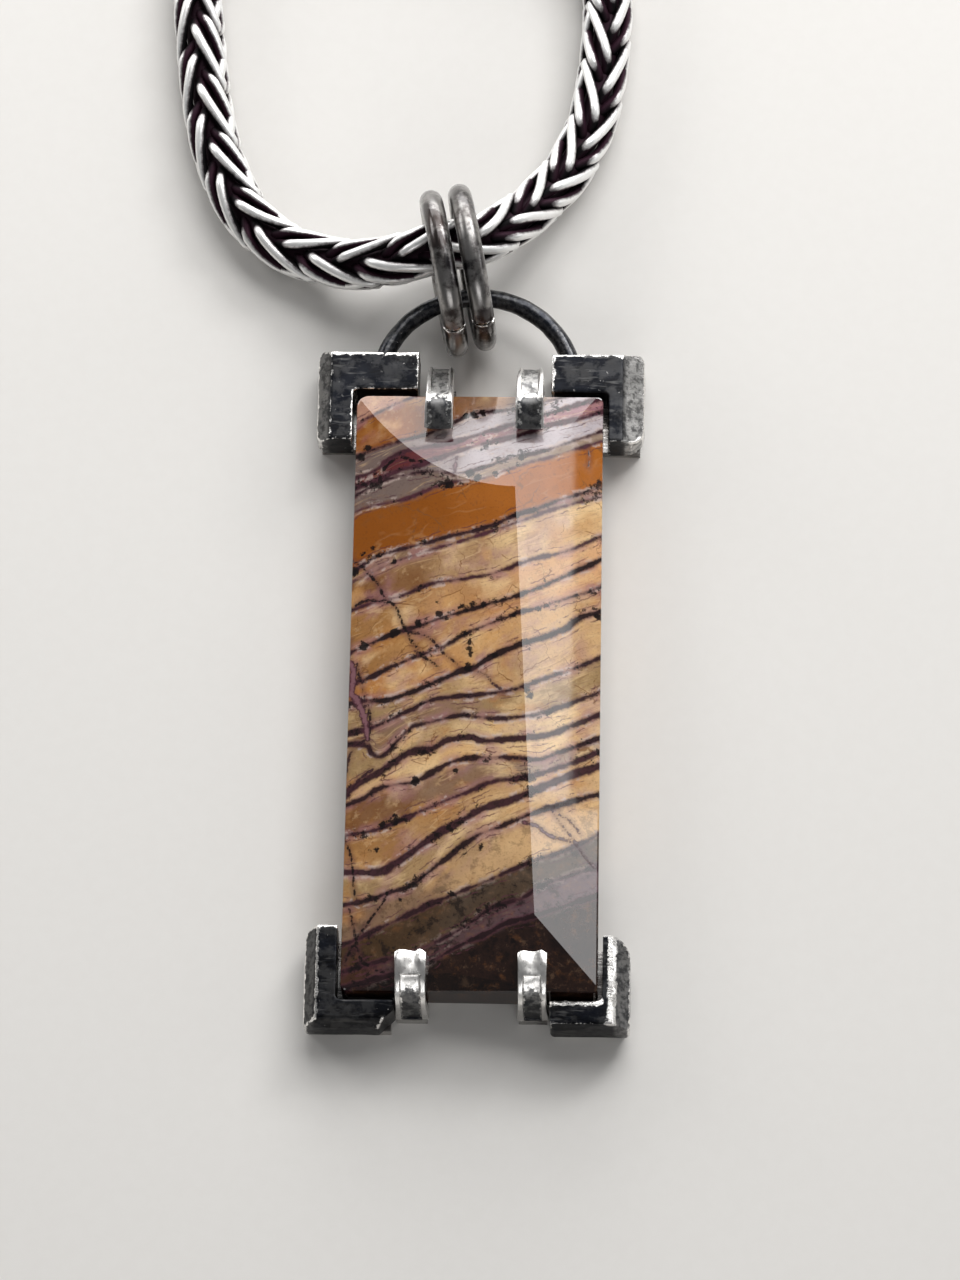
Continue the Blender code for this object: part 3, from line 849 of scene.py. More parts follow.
def band_ramp(tree, position, side):
    """The rock's colours down the stone, on its left (0) or right (1)."""
    node = tree.nodes.new("ShaderNodeValToRGB")
    tree.links.new(position, node.inputs["Fac"])
    rocks = [TOP_ROCK[side]] + [line[2 + side] for line in BAND_LINES]
    count = len(rocks)
    stops = node.color_ramp.elements
    while len(stops) < count:
        stops.new(1.0)
    for i, rock in enumerate(rocks):
        stops[i].position = (i + 0.5) / count
    for i, rock in enumerate(rocks):
        stops[i].color = (*linear(ROCK[rock]), 1.0)
    return node.outputs["Color"]


def off_centre(tree, value, share):
    """A noise value as a swing of this much each way about nothing."""
    return times(tree, minus(tree, value, 0.5), 2.0 * share)


def band_zone(tree, band, first, last):
    """1 between these two bands, fading out within half a band."""
    rise = between(tree, band, first - 0.25, first + 0.25)
    return times(tree, rise, between(tree, band, last + 0.25, last - 0.25))


def make_rhyolite():
    """Polished banded rhyolite: coloured bands, dark lines, cracks, specks and fine strata."""
    made, tree, shader = new_finish("polished_rhyolite", IOR=1.55)
    place = millimetres(tree)
    band = number(tree, "band")
    line_near = number(tree, "line")
    count = len(BAND_LINES) + 1
    across = put(tree, "SeparateXYZ", (place,), out="X")
    fine = noise(tree, place, 2.4, 5.0, 0.7)
    coarse = noise(tree, place, 0.55, 2.0)
    mottle = noise(tree, place, 1.2, 6.0, 0.66)

    def tint(colour, mask, rock):
        """The colour, turned to this rock's where the mask is."""
        return blend(tree, mask, colour, linear(ROCK[rock]))

    def both(first, second):
        """The mask of where both masks are."""
        return times(tree, first, second)

    # Bands, whose colours change quickly at each line
    moved = plus(tree, band, off_centre(tree, noise(tree, place, 1.3, 5.0, 0.6), 0.12))
    shifted = minus(tree, moved, 0.5)
    whole = maths(tree, "FLOOR", shifted)
    share = minus(tree, shifted, whole)
    level = plus(tree, plus(tree, whole, between(tree, share, 0.34, 0.66)), 0.5)
    position = maths(tree, "DIVIDE", level, count)
    side_shift = off_centre(tree, noise(tree, place, 0.3, 3.0), 9.0)
    side = between(tree, plus(tree, across, side_shift), -8.0, 8.0)
    colour = blend(tree, side, band_ramp(tree, position, 0), band_ramp(tree, position, 1))

    # Soft cream, amber and rosy clouds drawn out along the warm bands
    warm = larger(tree, *(band_zone(tree, band, *bands) for bands in WARM_BANDS))
    flow_x, flow_band = times(tree, across, 0.3), times(tree, band, 0.85)
    for rock, drift, low, high, strength in CLOUDS:
        flow = put(tree, "CombineXYZ", (flow_x, flow_band, drift))
        cloud = noise(tree, flow, 1.0, 4.0, 0.55, 0.2)
        colour = tint(colour, both(between(tree, cloud, low, high, 0.0, strength), warm), rock)

    # Fine strata along the bands
    calm = minus(tree, 1.0, both(band_zone(tree, band, *ORANGE_BAND), 0.75))
    strata_x = times(tree, across, 0.22)
    patchy = between(tree, noise(tree, place, 0.5, 2.0), 0.42, 0.6)
    strata_here = both(both(patchy, calm), band_zone(tree, band, *STRATA_BANDS))
    for scale, ink, strength in STRATA:
        spot = put(tree, "CombineXYZ", (strata_x, times(tree, band, scale), scale))
        wisp = maths(tree, "ABSOLUTE", off_centre(tree, noise(tree, spot, 1.0, 2.0, 0.5), 1.0))
        mask = both(between(tree, wisp, 0.06, 0.0, 0.0, strength), strata_here)
        colour = tint(colour, mask, ink)

    # Brown hairlines that stand across the bands
    upright = millimetres(tree, (0.62, 0.3, 0.3))
    bent = noise(tree, place, 0.9, 3.0)
    bent = put(tree, "CombineXYZ", (bent, 0.0, 0.0))
    bent = put(tree, "VectorMath", (upright, bent), operation="ADD")
    values = {"Vector": bent, "Scale": 1.0, "Randomness": 1.0}
    cell = put(tree, "TexVoronoi", values, feature="DISTANCE_TO_EDGE")
    hairline = between(tree, cell, 0.022, 0.004, 0.0, 0.75)
    patchy = between(tree, noise(tree, place, 0.4, 2.0), 0.47, 0.56)
    hairline = both(hairline, both(patchy, band_zone(tree, band, *HAIRLINE_BANDS)))
    colour = tint(colour, hairline, "rust")

    # Cloudy mottling and fine grain, dusky blotches at the stone's foot, and lilac by the lines
    colour = tint(colour, between(tree, mottle, 0.52, 0.74, 0.0, 0.4), "rust")
    light_spots = both(between(tree, mottle, 0.46, 0.3, 0.0, 0.3), warm)
    colour = tint(colour, light_spots, "cream")
    grain = noise(tree, place, 6.5, 3.0, 0.6)
    colour = tint(colour, between(tree, grain, 0.52, 0.74, 0.0, 0.3), "umber")
    half_dusk = between(tree, band, 18.9, 19.2, 0.0, 0.5)
    dusk = maths(tree, "MULTIPLY_ADD", between(tree, band, 19.8, 20.2), 0.5, half_dusk)
    blotch = noise(tree, place, 0.9, 6.0, 0.74)
    colour = tint(colour, both(dusk, between(tree, blotch, 0.5, 0.62, 0.0, 0.75)), "black")
    colour = tint(colour, both(dusk, between(tree, blotch, 0.46, 0.34, 0.0, 0.3)), "clay")
    lilac = both(between(tree, line_near, 0.7, 0.1), between(tree, coarse, 0.45, 0.62, 0.0, 0.5))
    colour = tint(colour, both(lilac, warm), "blush")

    # The dark lines: uneven, with a plum halo, and here and there a pale beaded fringe
    swell = off_centre(tree, coarse, 0.3)
    ragged = off_centre(tree, fine, 0.2)
    line = plus(tree, line_near, plus(tree, swell, ragged))
    fringe = both(between(tree, line, 0.36, 0.12), between(tree, mottle, 0.52, 0.44, 0.0, 0.75))
    fringe_here = between(tree, noise(tree, place, 0.28, 2.0), 0.44, 0.54)
    fringe_here = both(fringe_here, between(tree, band, 19.7, 20.1, 1.0, 0.25))
    colour = tint(colour, both(fringe, fringe_here), "fringe")
    second = maths(tree, "ABSOLUTE", minus(tree, line, 0.4))
    broken = between(tree, noise(tree, place, 0.8, 2.0), 0.5, 0.58, 0.0, 0.7)
    colour = tint(colour, both(between(tree, second, 0.06, 0.01), broken), "plum")
    colour = tint(colour, between(tree, line, 0.24, 0.0, 0.0, 0.6), "plum")
    black, plum = linear(ROCK["black"]), linear(ROCK["plum"])
    ink = blend(tree, number(tree, "line_tone"), black, plum)
    ink = blend(tree, between(tree, fine, 0.42, 0.6, 0.0, 0.5), ink, black)
    colour = blend(tree, between(tree, line, 0.1, -0.05, 0.0, 0.96), colour, ink)

    # Dark growths along the lines, specks and cracks
    growth = noise(tree, place, 1.9, 6.0, 0.78)
    near = between(tree, line_near, 0.8, 0.05, 0.0, 0.19)
    some = off_centre(tree, noise(tree, place, 0.4, 1.0), 0.24)
    reach = plus(tree, growth, plus(tree, near, some))
    colour = tint(colour, between(tree, reach, 0.75, 0.81, 0.0, 0.9), "black")
    speck = plus(tree, number(tree, "speck"), off_centre(tree, fine, 0.5))
    colour = tint(colour, between(tree, speck, 0.06, -0.06, 0.0, 0.95), "black")
    crack_wander = plus(tree, off_centre(tree, fine, 0.2), off_centre(tree, mottle, 0.16))
    crack = plus(tree, number(tree, "crack"), crack_wander)
    crack_ink = blend(tree, number(tree, "crack_tone"), black, plum)
    core = both(between(tree, crack, -0.02, -0.16, 0.0, 0.75), number(tree, "crack_tone"))
    crack_ink = blend(tree, core, crack_ink, linear(ROCK["blush"]))
    colour = tint(colour, between(tree, number(tree, "crack"), 0.4, 0.0, 0.0, 0.35), "plum")
    colour = blend(tree, between(tree, crack, 0.07, -0.03, 0.0, 0.95), colour, crack_ink)

    tree.links.new(colour, shader.inputs["Base Color"])
    smear = between(tree, noise(tree, place, 0.6, 4.0), 0.4, 0.7, 0.025, 0.055)
    tree.links.new(smear, shader.inputs["Roughness"])
    bump(tree, shader, between(tree, crack, 0.05, -0.02, 1.0, 0.0), 0.1)
    return made


def make_silver(name, silver):
    """Silver blackened in its hollows, rubbed bright at its edges and filed one way."""
    recipe = SILVERS[name]
    rough = recipe["rough"]
    dark = tuple(recipe.get("tarnish", silver.blackened))
    bright = tuple(silver.bright)
    made, tree, shader = new_finish(name, Metallic=1.0, Coat_Roughness=rough)
    place = millimetres(tree)
    values = {
        "Edge": number(tree, "edge"),
        "Width": recipe["edge_width"],
        "Ragged": 0.17,
        "Place": place,
    }
    wear = use_group(tree, "Worn edge", values, "Mask")
    marks = {"Place": millimetres(tree, recipe["brushing"])}
    fine, deep = use_group(tree, "File marks", marks, ("Fine", "Deep"))
    values = {"Place": place, "Size": recipe.get("clouds", 0.9)}
    cloud, tint = use_group(tree, "Tarnish", values, ("Cloud", "Tint"))
    bluish = tuple(v * f for v, f in zip(dark, (0.85, 0.95, 1.2)))
    brownish = tuple(v * f for v, f in zip(dark, (1.15, 1.0, 0.85)))
    black = blend(tree, tint, bluish, brownish)
    streaks = times(tree, fine, 0.5)
    black = blend(tree, streaks, black, tuple(min(v * 3.0, 1.0) for v in dark))
    rub = number(tree, "rub")
    mottle = noise(tree, place, 1.7, 6.0, 0.72)
    rub = times(tree, rub, between(tree, mottle, 0.4, 0.58, 0.25, 1.0))
    open_metal = between(tree, cloud, 0.2, 1.0, 0.0, recipe["open_share"])
    scratch = times(tree, deep, 0.05)
    chip = between(tree, noise(tree, place, 3.0, 4.0, 0.7), 0.66, 0.76, 0.0, 0.5)
    rubbed = larger(tree, larger(tree, open_metal, scratch), chip)
    rubbed = larger(tree, larger(tree, wear, rub), rubbed)
    colour = blend(tree, rubbed, black, bright)
    colour = blend(tree, times(tree, fine, 0.15), colour, dark)
    tree.links.new(colour, shader.inputs["Base Color"])
    dull = between(tree, rubbed, 0.0, 1.0, rough + 0.14, rough)
    dull = plus(tree, dull, times(tree, fine, 0.1))
    tree.links.new(dull, shader.inputs["Roughness"])
    sheen = silver.patina_sheen * recipe.get("sheen", 1.0)
    coat = between(tree, rubbed, 0.0, 0.6, sheen, 0.0)
    tree.links.new(coat, shader.inputs["Coat Weight"])
    cuts = plus(tree, times(tree, fine, 0.4), times(tree, deep, 0.6))
    height = minus(tree, times(tree, cloud, 0.6), cuts)
    bump(tree, shader, height, 0.25)
    return made


def make_plate_silver(silver):
    """The back plate: sheet silver with its mill marks, tarnished brown in clouds."""
    made, tree, shader = new_finish("plate_silver", Metallic=1.0)
    marks = {"Place": millimetres(tree, (0.08, 1.4, 0.5))}
    fine, deep = use_group(tree, "File marks", marks, ("Fine", "Deep"))
    values = {"Place": millimetres(tree), "Size": 0.35}
    cloud, tint = use_group(tree, "Tarnish", values, ("Cloud", "Tint"))
    tarnish = blend(tree, tint, tuple(silver.blackened), (0.09, 0.06, 0.045))
    colour = blend(tree, between(tree, cloud, 0.0, 1.0, 0.1, 0.6), tarnish, tuple(silver.bright))
    colour = blend(tree, times(tree, deep, 0.4), colour, tuple(silver.bright))
    tree.links.new(colour, shader.inputs["Base Color"])
    tree.links.new(between(tree, fine, 0.0, 1.0, 0.24, 0.4), shader.inputs["Roughness"])
    bump(tree, shader, plus(tree, fine, deep), 0.2)
    return made


def make_chain_silver():
    """Polished silver wire with painted light: grey down its sides as painted shade, lighter on its
    outer side as a painted highlight, and black where the weave turns inward and purplish within
    a pair, as patina and painted shade.
    """
    made, tree, shader = new_finish("woven_silver", Metallic=0.6, Specular_IOR_Level=0.3)
    place = millimetres(tree)
    # The painted shade from the weave, given a ragged edge
    ragged = minus(tree, noise(tree, place, 2.6, 4.0, 0.6), 0.5)
    depth = plus(tree, number(tree, "depth"), times(tree, ragged, 0.36))
    patina_and_shade = between(tree, depth, 0.12, 0.3)
    cloud = use_group(tree, "Tarnish", {"Place": place, "Size": 0.8}, "Cloud")
    # Black as patina and painted shade where the weave turns inward, purplish as painted shade in a
    # pair's gap
    black, pair_gap_shade = (0.004, 0.003, 0.004), (0.03, 0.008, 0.018)
    black = blend(tree, number(tree, "pair"), black, pair_gap_shade)
    # Silver tarnished in clouds, painted grey as shade down the wires' sides
    polished, worn, grey = (0.95, 0.945, 0.93), (0.72, 0.69, 0.67), (0.13, 0.11, 0.115)
    silver = blend(tree, times(tree, cloud, 0.2), polished, worn)
    silver = blend(tree, between(tree, depth, -0.1, 0.17, 0.0, 0.88), silver, grey)
    colour = blend(tree, patina_and_shade, silver, black)
    tree.links.new(colour, shader.inputs["Base Color"])
    fine = use_group(tree, "File marks", {"Place": place}, "Fine")
    polish = between(tree, patina_and_shade, 0.0, 1.0, 0.34, 0.6)
    rough = plus(tree, polish, times(tree, fine, 0.08))
    tree.links.new(rough, shader.inputs["Roughness"])
    bump(tree, shader, cloud, 0.1)
    return made


# The chain


def coil_point(radius_at_zero, degrees):
    """A point of a strand in the coil: angles run clockwise from the coil's left."""
    turn = math.radians(degrees)
    radius = radius_at_zero - COIL_PITCH * degrees / 360.0
    x = COIL_CENTRE[0] - radius * math.cos(turn)
    y = COIL_CENTRE[1] + radius * math.sin(turn)
    return (x, y, CHAIN_Z)


def chain_end(degrees):
    """Where an end of the chain meets its cap, the way the cap points, and the curl's hub."""
    turn = math.radians(degrees)
    out = Vector((-math.cos(turn), math.sin(turn), 0.0))
    on = Vector((math.sin(turn), math.cos(turn), 0.0))
    hub = Vector((*COIL_CENTRE, CAP_Z)) + out * CURL_OUT
    return hub + on * CURL_RADIUS, -out, hub, on


def strand(radius_at_zero, first, last):
    """One strand's turns, and the curl that brings its end in to the cap."""
    steps = round((last - first) / COIL_STEP)
    angles = [first + (last - first) * i / steps for i in range(steps + 1)]
    points = [coil_point(radius_at_zero, degrees) for degrees in angles]
    place, way, hub, on = chain_end(last)
    start = Vector(points[-1]) - Vector((hub.x, hub.y, CHAIN_Z))
    for i in range(1, CURL_STEPS + 1):
        t = i / CURL_STEPS
        turn = math.pi / 2 * t
        reach = start.length * (1 - t) + CURL_RADIUS * t
        spot = hub + (-way * math.cos(turn) + on * math.sin(turn)) * reach
        spot.z = CHAIN_Z + (CAP_Z - CHAIN_Z) * t
        points.append(tuple(spot))
    return points


def chain_line():
    """Fine points on the whole chain's middle line, from the eye's cap to the hook's cap."""
    first = strand(*FIRST_STRAND)
    second = strand(*SECOND_STRAND)
    return smooth_line(first[::-1] + list(CHAIN_ROUTE) + second, PATH_STEPS)


def frames_along(line):
    """For each point of a fine line: its length so far, its side and its upward way."""
    ahead = np.gradient(line, axis=0)
    ahead /= np.linalg.norm(ahead, axis=1)[:, None]
    side = np.cross(ahead, UP)
    side /= np.linalg.norm(side, axis=1)[:, None]
    up = np.cross(side, ahead)
    run = np.concatenate([[0.0], np.cumsum(np.linalg.norm(np.diff(line, axis=0), axis=1))])
    return run, side, up


def ease(t):
    """0 up to 0, 1 from 1 on, and smooth in between."""
    t = np.clip(t, 0.0, 1.0)
    return t * t * (3 - 2 * t)


def tube_rings(centres, radii, sides):
    """Rings of points round a line, and the unit way out of the tube at each."""
    ahead = np.gradient(centres, axis=0)
    ahead /= np.linalg.norm(ahead, axis=1)[:, None]
    upright = abs(ahead[0][2]) >= 0.9
    first = np.cross(ahead, (1, 0, 0) if upright else UP)
    first /= np.linalg.norm(first, axis=1)[:, None]
    second = np.cross(ahead, first)
    turns = (np.arange(sides) * math.tau / sides)[None, :, None]
    out = first[:, None] * np.cos(turns) + second[:, None] * np.sin(turns)
    return centres[:, None] + out * radii[:, None, None], out


def weave(line):
    """The vertices, faces, painted shade and highlight, and pair gaps of the wires woven along a
    fine line.
    """
    run, side, up = frames_along(line)
    total = run[-1]
    made = {"points": [], "faces": [], "depth": [], "pair": []}

    def at(distance, values):
        """What the values along the line are at this distance."""
        return np.stack([np.interp(distance, run, values[:, i]) for i in range(3)], axis=-1)

    def add_tube(rings, depth, pair):
        """A closed tube through these rings of points."""
        start = sum(len(points) for points in made["points"])
        steps, sides = rings.shape[:2]
        made["points"].append(rings.reshape(-1, 3))
        made["depth"].append(depth.reshape(-1))
        made["pair"].append(pair.reshape(-1))
        for i in range(steps - 1):
            for j in range(sides):
                k = (j + 1) % sides
                a, b = start + i * sides, start + (i + 1) * sides
                made["faces"].append((a + j, a + k, b + k, b + j))
        made["faces"].append(tuple(start + j for j in reversed(range(sides))))
        made["faces"].append(tuple(start + (steps - 1) * sides + j for j in range(sides)))

    def add_arm(begin, face_turn, hand, wire):
        """One wire that starts in the middle of a face, and which of its pair it is."""
        low, high = max(begin, END_MARGIN), min(begin + ARM_LENGTH, total - END_MARGIN)
        if high - low < SHORTEST_ARM * ARM_LENGTH:
            return
        seen = np.interp(begin, run, line[:, 1]) < SEEN_Y
        count, sides = SEEN_WIRE if seen else PAST_WIRE
        spots = low + (high - low) * ease(np.linspace(0.0, 1.0, count)) ** 0.9
        part = (spots - begin) / ARM_LENGTH
        spread = wire * (PAIR_ANGLE + PAIR_SWELL * np.sin(math.pi * part))
        own = ARM_START + spread + ARM_TURN * part**1.08
        angle = np.radians(WEAVE_ROLL + face_turn + hand * own)
        (start_deep, start_share), (end_deep, end_share) = START_DIVE, END_DIVE
        sunk = start_deep * (1 - ease(part / start_share))
        sunk = sunk + end_deep * ease((part - 1 + end_share) / end_share)
        sine, cosine = np.sin(angle)[:, None], np.cos(angle)[:, None]
        out_way = at(spots, side) * sine + at(spots, up) * cosine
        across = hand * (at(spots, side) * cosine - at(spots, up) * sine)
        begun = np.clip(part / BLUNT_SHARE, 0, 1)
        blunt = np.sqrt(np.clip(1 - (1 - begun) ** 2, 0.05, 1))
        thin = 0.5 + 0.5 * ease((1 - part) / THIN_SHARE)
        middle = at(spots, line) + out_way * (ARM_RADIUS - sunk)[:, None]
        rings, out = tube_rings(middle, ARM_WIRE * blunt * thin, sides)
        # Each wire's colour is painted: lighter on its outer side as a painted highlight, darker
        # round its sides, in its dives and toward its pair's other wire as painted shade
        facing = np.einsum("ijk,ik->ij", out, out_way)
        toward = np.einsum("ijk,ik->ij", out, -wire * across)
        dive = DIVE_SHADE * (sunk / FULL_DIVE)[:, None] ** DIVE_CURVE
        depth = WIRE_SHADE - OUTER_HIGHLIGHT * facing + dive + GAP_SHADE * np.clip(toward, 0, 1) ** 2
        add_tube(rings, depth, np.clip(toward, 0, 1))

    for face in (0, 1):
        for hand in (1, -1):
            offset = (0.25 if hand > 0 else 0.75) * WEAVE_PITCH + 0.5 * face * WEAVE_PITCH
            for turn in range(-2, int(total / WEAVE_PITCH) + 1):
                for wire in (-1, 1):
                    begin = turn * WEAVE_PITCH + offset - PAIR_LEAD * wire
                    add_arm(begin, 180.0 * face, hand, wire)
    # The core is painted as full shade, a dark tube standing for the shade inside the weave
    spots = np.linspace(0.05, total - 0.05, int(total / CORE_STEP))
    rings, _ = tube_rings(at(spots, line), np.full(len(spots), CORE_RADIUS), CORE_SIDES)
    add_tube(rings, np.full(rings.shape[:2], 2.0), np.full(rings.shape[:2], 0.5))
    points, depth, pair = (np.concatenate(made[name]) for name in ("points", "depth", "pair"))
    return points, made["faces"], depth, pair


def make_chain(finish):
    """The woven chain, which is one mesh from cap to cap."""
    vertices, faces, depth, pair = weave(chain_line())
    mesh = bpy.data.meshes.new("woven_chain")
    mesh.from_pydata((vertices * MM).tolist(), [], faces)
    chain = bpy.data.objects.new("woven_chain", mesh)
    bpy.context.scene.collection.objects.link(chain)
    # Each wire's painted shade and highlight, and how far it faces its pair's gap
    store(chain, "depth", depth)
    store(chain, "pair", pair)
    settle(chain, degrees=50)
    stand_for(chain, ("chain_run", "chain_coil"), finish)


# The stone


def ridge_x(y):
    """Where the ridge runs at this height up the stone."""
    (x0, y0), (x1, y1) = RIDGE
    return x0 + (x1 - x0) * (y0 - y) / (y0 - y1)


def facet_z(name, x, y):
    """How high a facet's plane is here."""
    (px, py, pz), (rise_x, rise_y) = FACETS[name]
    return pz + rise_x * (x - px) + rise_y * (y - py)


def outline_place(u, v, inset):
    """The point of the stone's outline grid at u across and v up, from 0 to 1, rounded at
    its corners, with its edge this far inside the stone's."""
    top_left, top_right, bottom_right, bottom_left = (np.array(c, float) for c in STONE_CORNERS)
    inward = ((1, -1), (-1, -1), (-1, 1), (1, 1))
    top_left, top_right, bottom_right, bottom_left = (
        corner + np.array(way) * inset
        for corner, way in zip((top_left, top_right, bottom_right, bottom_left), inward)
    )
    left = bottom_left + (top_left - bottom_left) * v[:, None]
    right = bottom_right + (top_right - bottom_right) * v[:, None]
    spots = left + (right - left) * u[:, None]
    hubs = zip((top_left, top_right, bottom_right, bottom_left), inward, CORNER_RADII)
    for corner, way, radius in hubs:
        radius = max(radius - inset, 0.05)
        local = (corner + np.array(way) * radius - spots) * np.array(way) / radius
        inside = (local[:, 0] > 0) & (local[:, 1] > 0)
        square = np.max(local, axis=1)
        circle = np.linalg.norm(local, axis=1)
        pull = np.where(inside, square / np.maximum(circle, 1e-9), 1.0)
        rounded = corner + np.array(way) * radius - local * pull[:, None] * radius * np.array(way)
        spots = np.where(inside[:, None], rounded, spots)
    return spots


def dome_z(x, y):
    """The stone's domed left side, from the ridge to the girdle."""
    ridge = ridge_x(y)
    t = np.clip((ridge - x) / (ridge - DOME_END_X), 0.0, 1.0)
    return RIDGE_Z - DOME_DROP * t - (RIDGE_Z - GIRDLE_Z - DOME_DROP) * t**DOME_CURVE


def cut_stone(settings):
    """A fine sheet is domed, cut along each facet and flattened there, then given its sides."""
    rim = settings.polish / MM
    deselect()
    columns, rows = STONE_GRID
    bpy.ops.mesh.primitive_grid_add(x_subdivisions=columns, y_subdivisions=rows, size=2)
    stone = named("banded_rhyolite")
    flat = points_of(stone) * MM
    u, v = (flat[:, 0] + 1) / 2, (flat[:, 1] + 1) / 2
    store(stone, "u", u)
    store(stone, "v", v)
    spots = outline_place(u, v, rim)
    heights = dome_z(spots[:, 0], spots[:, 1])
    put_points(stone, np.column_stack([spots[:, 0], spots[:, 1] + STONE_Y, heights]))

    for name, ((x, y, z), (rise_x, rise_y)) in FACETS.items():
        bpy.ops.object.mode_set(mode="EDIT")
        # The top is flat beyond the ridge until the right facet is cut, so a plane that
        # stands on the ridge cuts it at the same place
        if name == "right":
            cut(at_stone(x, y, z), RIDGE_SIDE)
        else:
            cut(at_stone(x, y, z), (-rise_x, -rise_y, 1.0))
        bpy.ops.object.mode_set(mode="OBJECT")
        points = points_of(stone)
        x, y = points[:, 0], points[:, 1] - STONE_Y
        if name == "right":
            points[abs(x - ridge_x(y)) < RIDGE_REACH, 2] = RIDGE_Z
        points[:, 2] = np.minimum(points[:, 2], facet_z(name, x, y))
        put_points(stone, points)

    # The girdle's polished edge, the sides, the base's chamfer and the base
    bpy.ops.object.mode_set(mode="EDIT")
    bpy.ops.mesh.select_mode(type="EDGE")
    bpy.ops.mesh.select_all(action="DESELECT")
    bpy.ops.mesh.select_non_manifold()
    steps = (
        (0.3 * rim, lambda z: z - 0.3 * rim),
        (0.0, lambda z: z - rim),
        (0.0, lambda z: np.full_like(z, BASE_Z + BASE_CHAMFER)),
        (BASE_CHAMFER, lambda z: np.full_like(z, BASE_Z)),
    )
    for inset, lower in steps:
        down = (0, 0, -STEP_DOWN * MM)
        bpy.ops.mesh.extrude_edges_move(TRANSFORM_OT_translate={"value": down})
        bpy.ops.object.mode_set(mode="OBJECT")
        chosen = np.array([vertex.select for vertex in stone.data.vertices])
        points = points_of(stone)
        ring = outline_place(read(stone, "u")[chosen], read(stone, "v")[chosen], inset)
        points[chosen, 0] = ring[:, 0]
        points[chosen, 1] = ring[:, 1] + STONE_Y
        points[chosen, 2] = lower(points[chosen, 2] + STEP_DOWN)
        put_points(stone, points)
        bpy.ops.object.mode_set(mode="EDIT")
    bpy.ops.mesh.edge_face_add()
    bpy.ops.object.mode_set(mode="OBJECT")
    settle(stone, degrees=4)
    return stone


def lines_near(points, lines, count):
    """The distance to the nearest of these lines less its half width, and its darkness."""
    starts, ends, widths, tones = [], [], [], []
    for half_width, tone, line in lines:
        fine = smooth_line(line, count)
        starts.extend(fine[:-1])
        ends.extend(fine[1:])
        widths.extend([half_width] * (len(fine) - 1))
        tones.extend([tone] * (len(fine) - 1))
    distance, which = nearest(points, np.array(starts), np.array(ends))
    return distance - np.array(widths)[which], np.array(tones)[which]


def mark_stone(stone):
    """Stores where each vertex lies among the bands, lines, cracks and specks."""
    points = points_of(stone)
    # The layers dip a little to the back, so the lines slant down the stone's sides
    depth = np.clip(GIRDLE_Z - points[:, 2], 0.0, None)
    lean_x, lean_y = LAYER_LEAN
    x, y = points[:, 0] + lean_x * depth, points[:, 1] - STONE_Y + lean_y * depth
    place = np.column_stack([x, y])
    heights = []
    for _, _, _, _, line in BAND_LINES:
        fine = smooth_line(line, 6)
        order = np.argsort(fine[:, 0])
        heights.append(np.interp(place[:, 0], fine[order, 0], fine[order, 1]))
    first, last = END_BANDS
    heights = np.array([heights[0] + first] + heights + [heights[-1] - last])
    heights = np.minimum.accumulate(heights - np.arange(len(heights))[:, None] * 1e-4, axis=0)
    band = np.zeros(len(place))
    for i in range(len(heights) - 1):
        above, below = heights[i], heights[i + 1]
        inside = (place[:, 1] <= above) & (place[:, 1] > below)
        share = (above - place[:, 1]) / np.maximum(above - below, 1e-6)
        band = np.where(inside, i + share, band)
    band = np.where(place[:, 1] <= heights[-1], len(heights) - 1.001, band)
    store(stone, "band", band)
    band_lines = [(width, tone, line) for width, tone, _, _, line in BAND_LINES]
    line, tone = lines_near(place, band_lines, 6)
    store(stone, "line", line)
    store(stone, "line_tone", tone)
    crack, tone = lines_near(place, CRACKS, 5)
    store(stone, "crack", crack)
    store(stone, "crack_tone", tone)
    speck = np.full(len(place), FAR_OFF)
    for x, y, radius in SPECKS:
        speck = np.minimum(speck, np.hypot(place[:, 0] - x, place[:, 1] - y) - radius)
    store(stone, "speck", speck)
    for name in ("u", "v"):
        stone.data.attributes.remove(stone.data.attributes[name])


# The setting


def toward_zero(value, amount):
    """The value, brought this much nearer to zero."""
    return value - math.copysign(amount, value)


def bracket_edge(name, x, y, z):
    """Which of a bracket's edges runs through this place, in millimetres about the stone."""
    shape = BRACKETS[name]
    crest_x = toward_zero(shape["outer"][0], shape["slopes"][0])
    crest_y = toward_zero(shape["outer"][1], shape["slopes"][1])
    high = z > BRACKET_TOP_Z - CREST_DEPTH
    for part, distance in (
        ("end_x", x - shape["ends"][0]),
        ("end_y", y - shape["ends"][1]),
        ("inner_x", x - shape["inner"][0]),
        ("inner_y", y - shape["inner"][1]),
        ("crest_x", x - crest_x if high else FAR_OFF),
        ("crest_y", y - crest_y if high else FAR_OFF),
        ("outer_x", x - shape["outer"][0]),
        ("outer_y", y - shape["outer"][1]),
    ):
        if abs(distance) < EDGE_REACH:
            return part
    return "corner" if high else "outer_x"


def round_upright(x, y, radius, segments):
    """Rounds the upright edge that stands at this place."""
    spot = at_stone(x, y, 0)

    def upright(edge):
        ends = [vertex.co for vertex in edge.verts]
        near = all((end - spot).xy.length < ROW_REACH * MM for end in ends)
        return near and abs(ends[0].z - ends[1].z) > UPRIGHT_LEAST * MM

    choose("EDGE", upright)
    bpy.ops.mesh.bevel(offset=radius * MM, segments=segments, affect="EDGES")


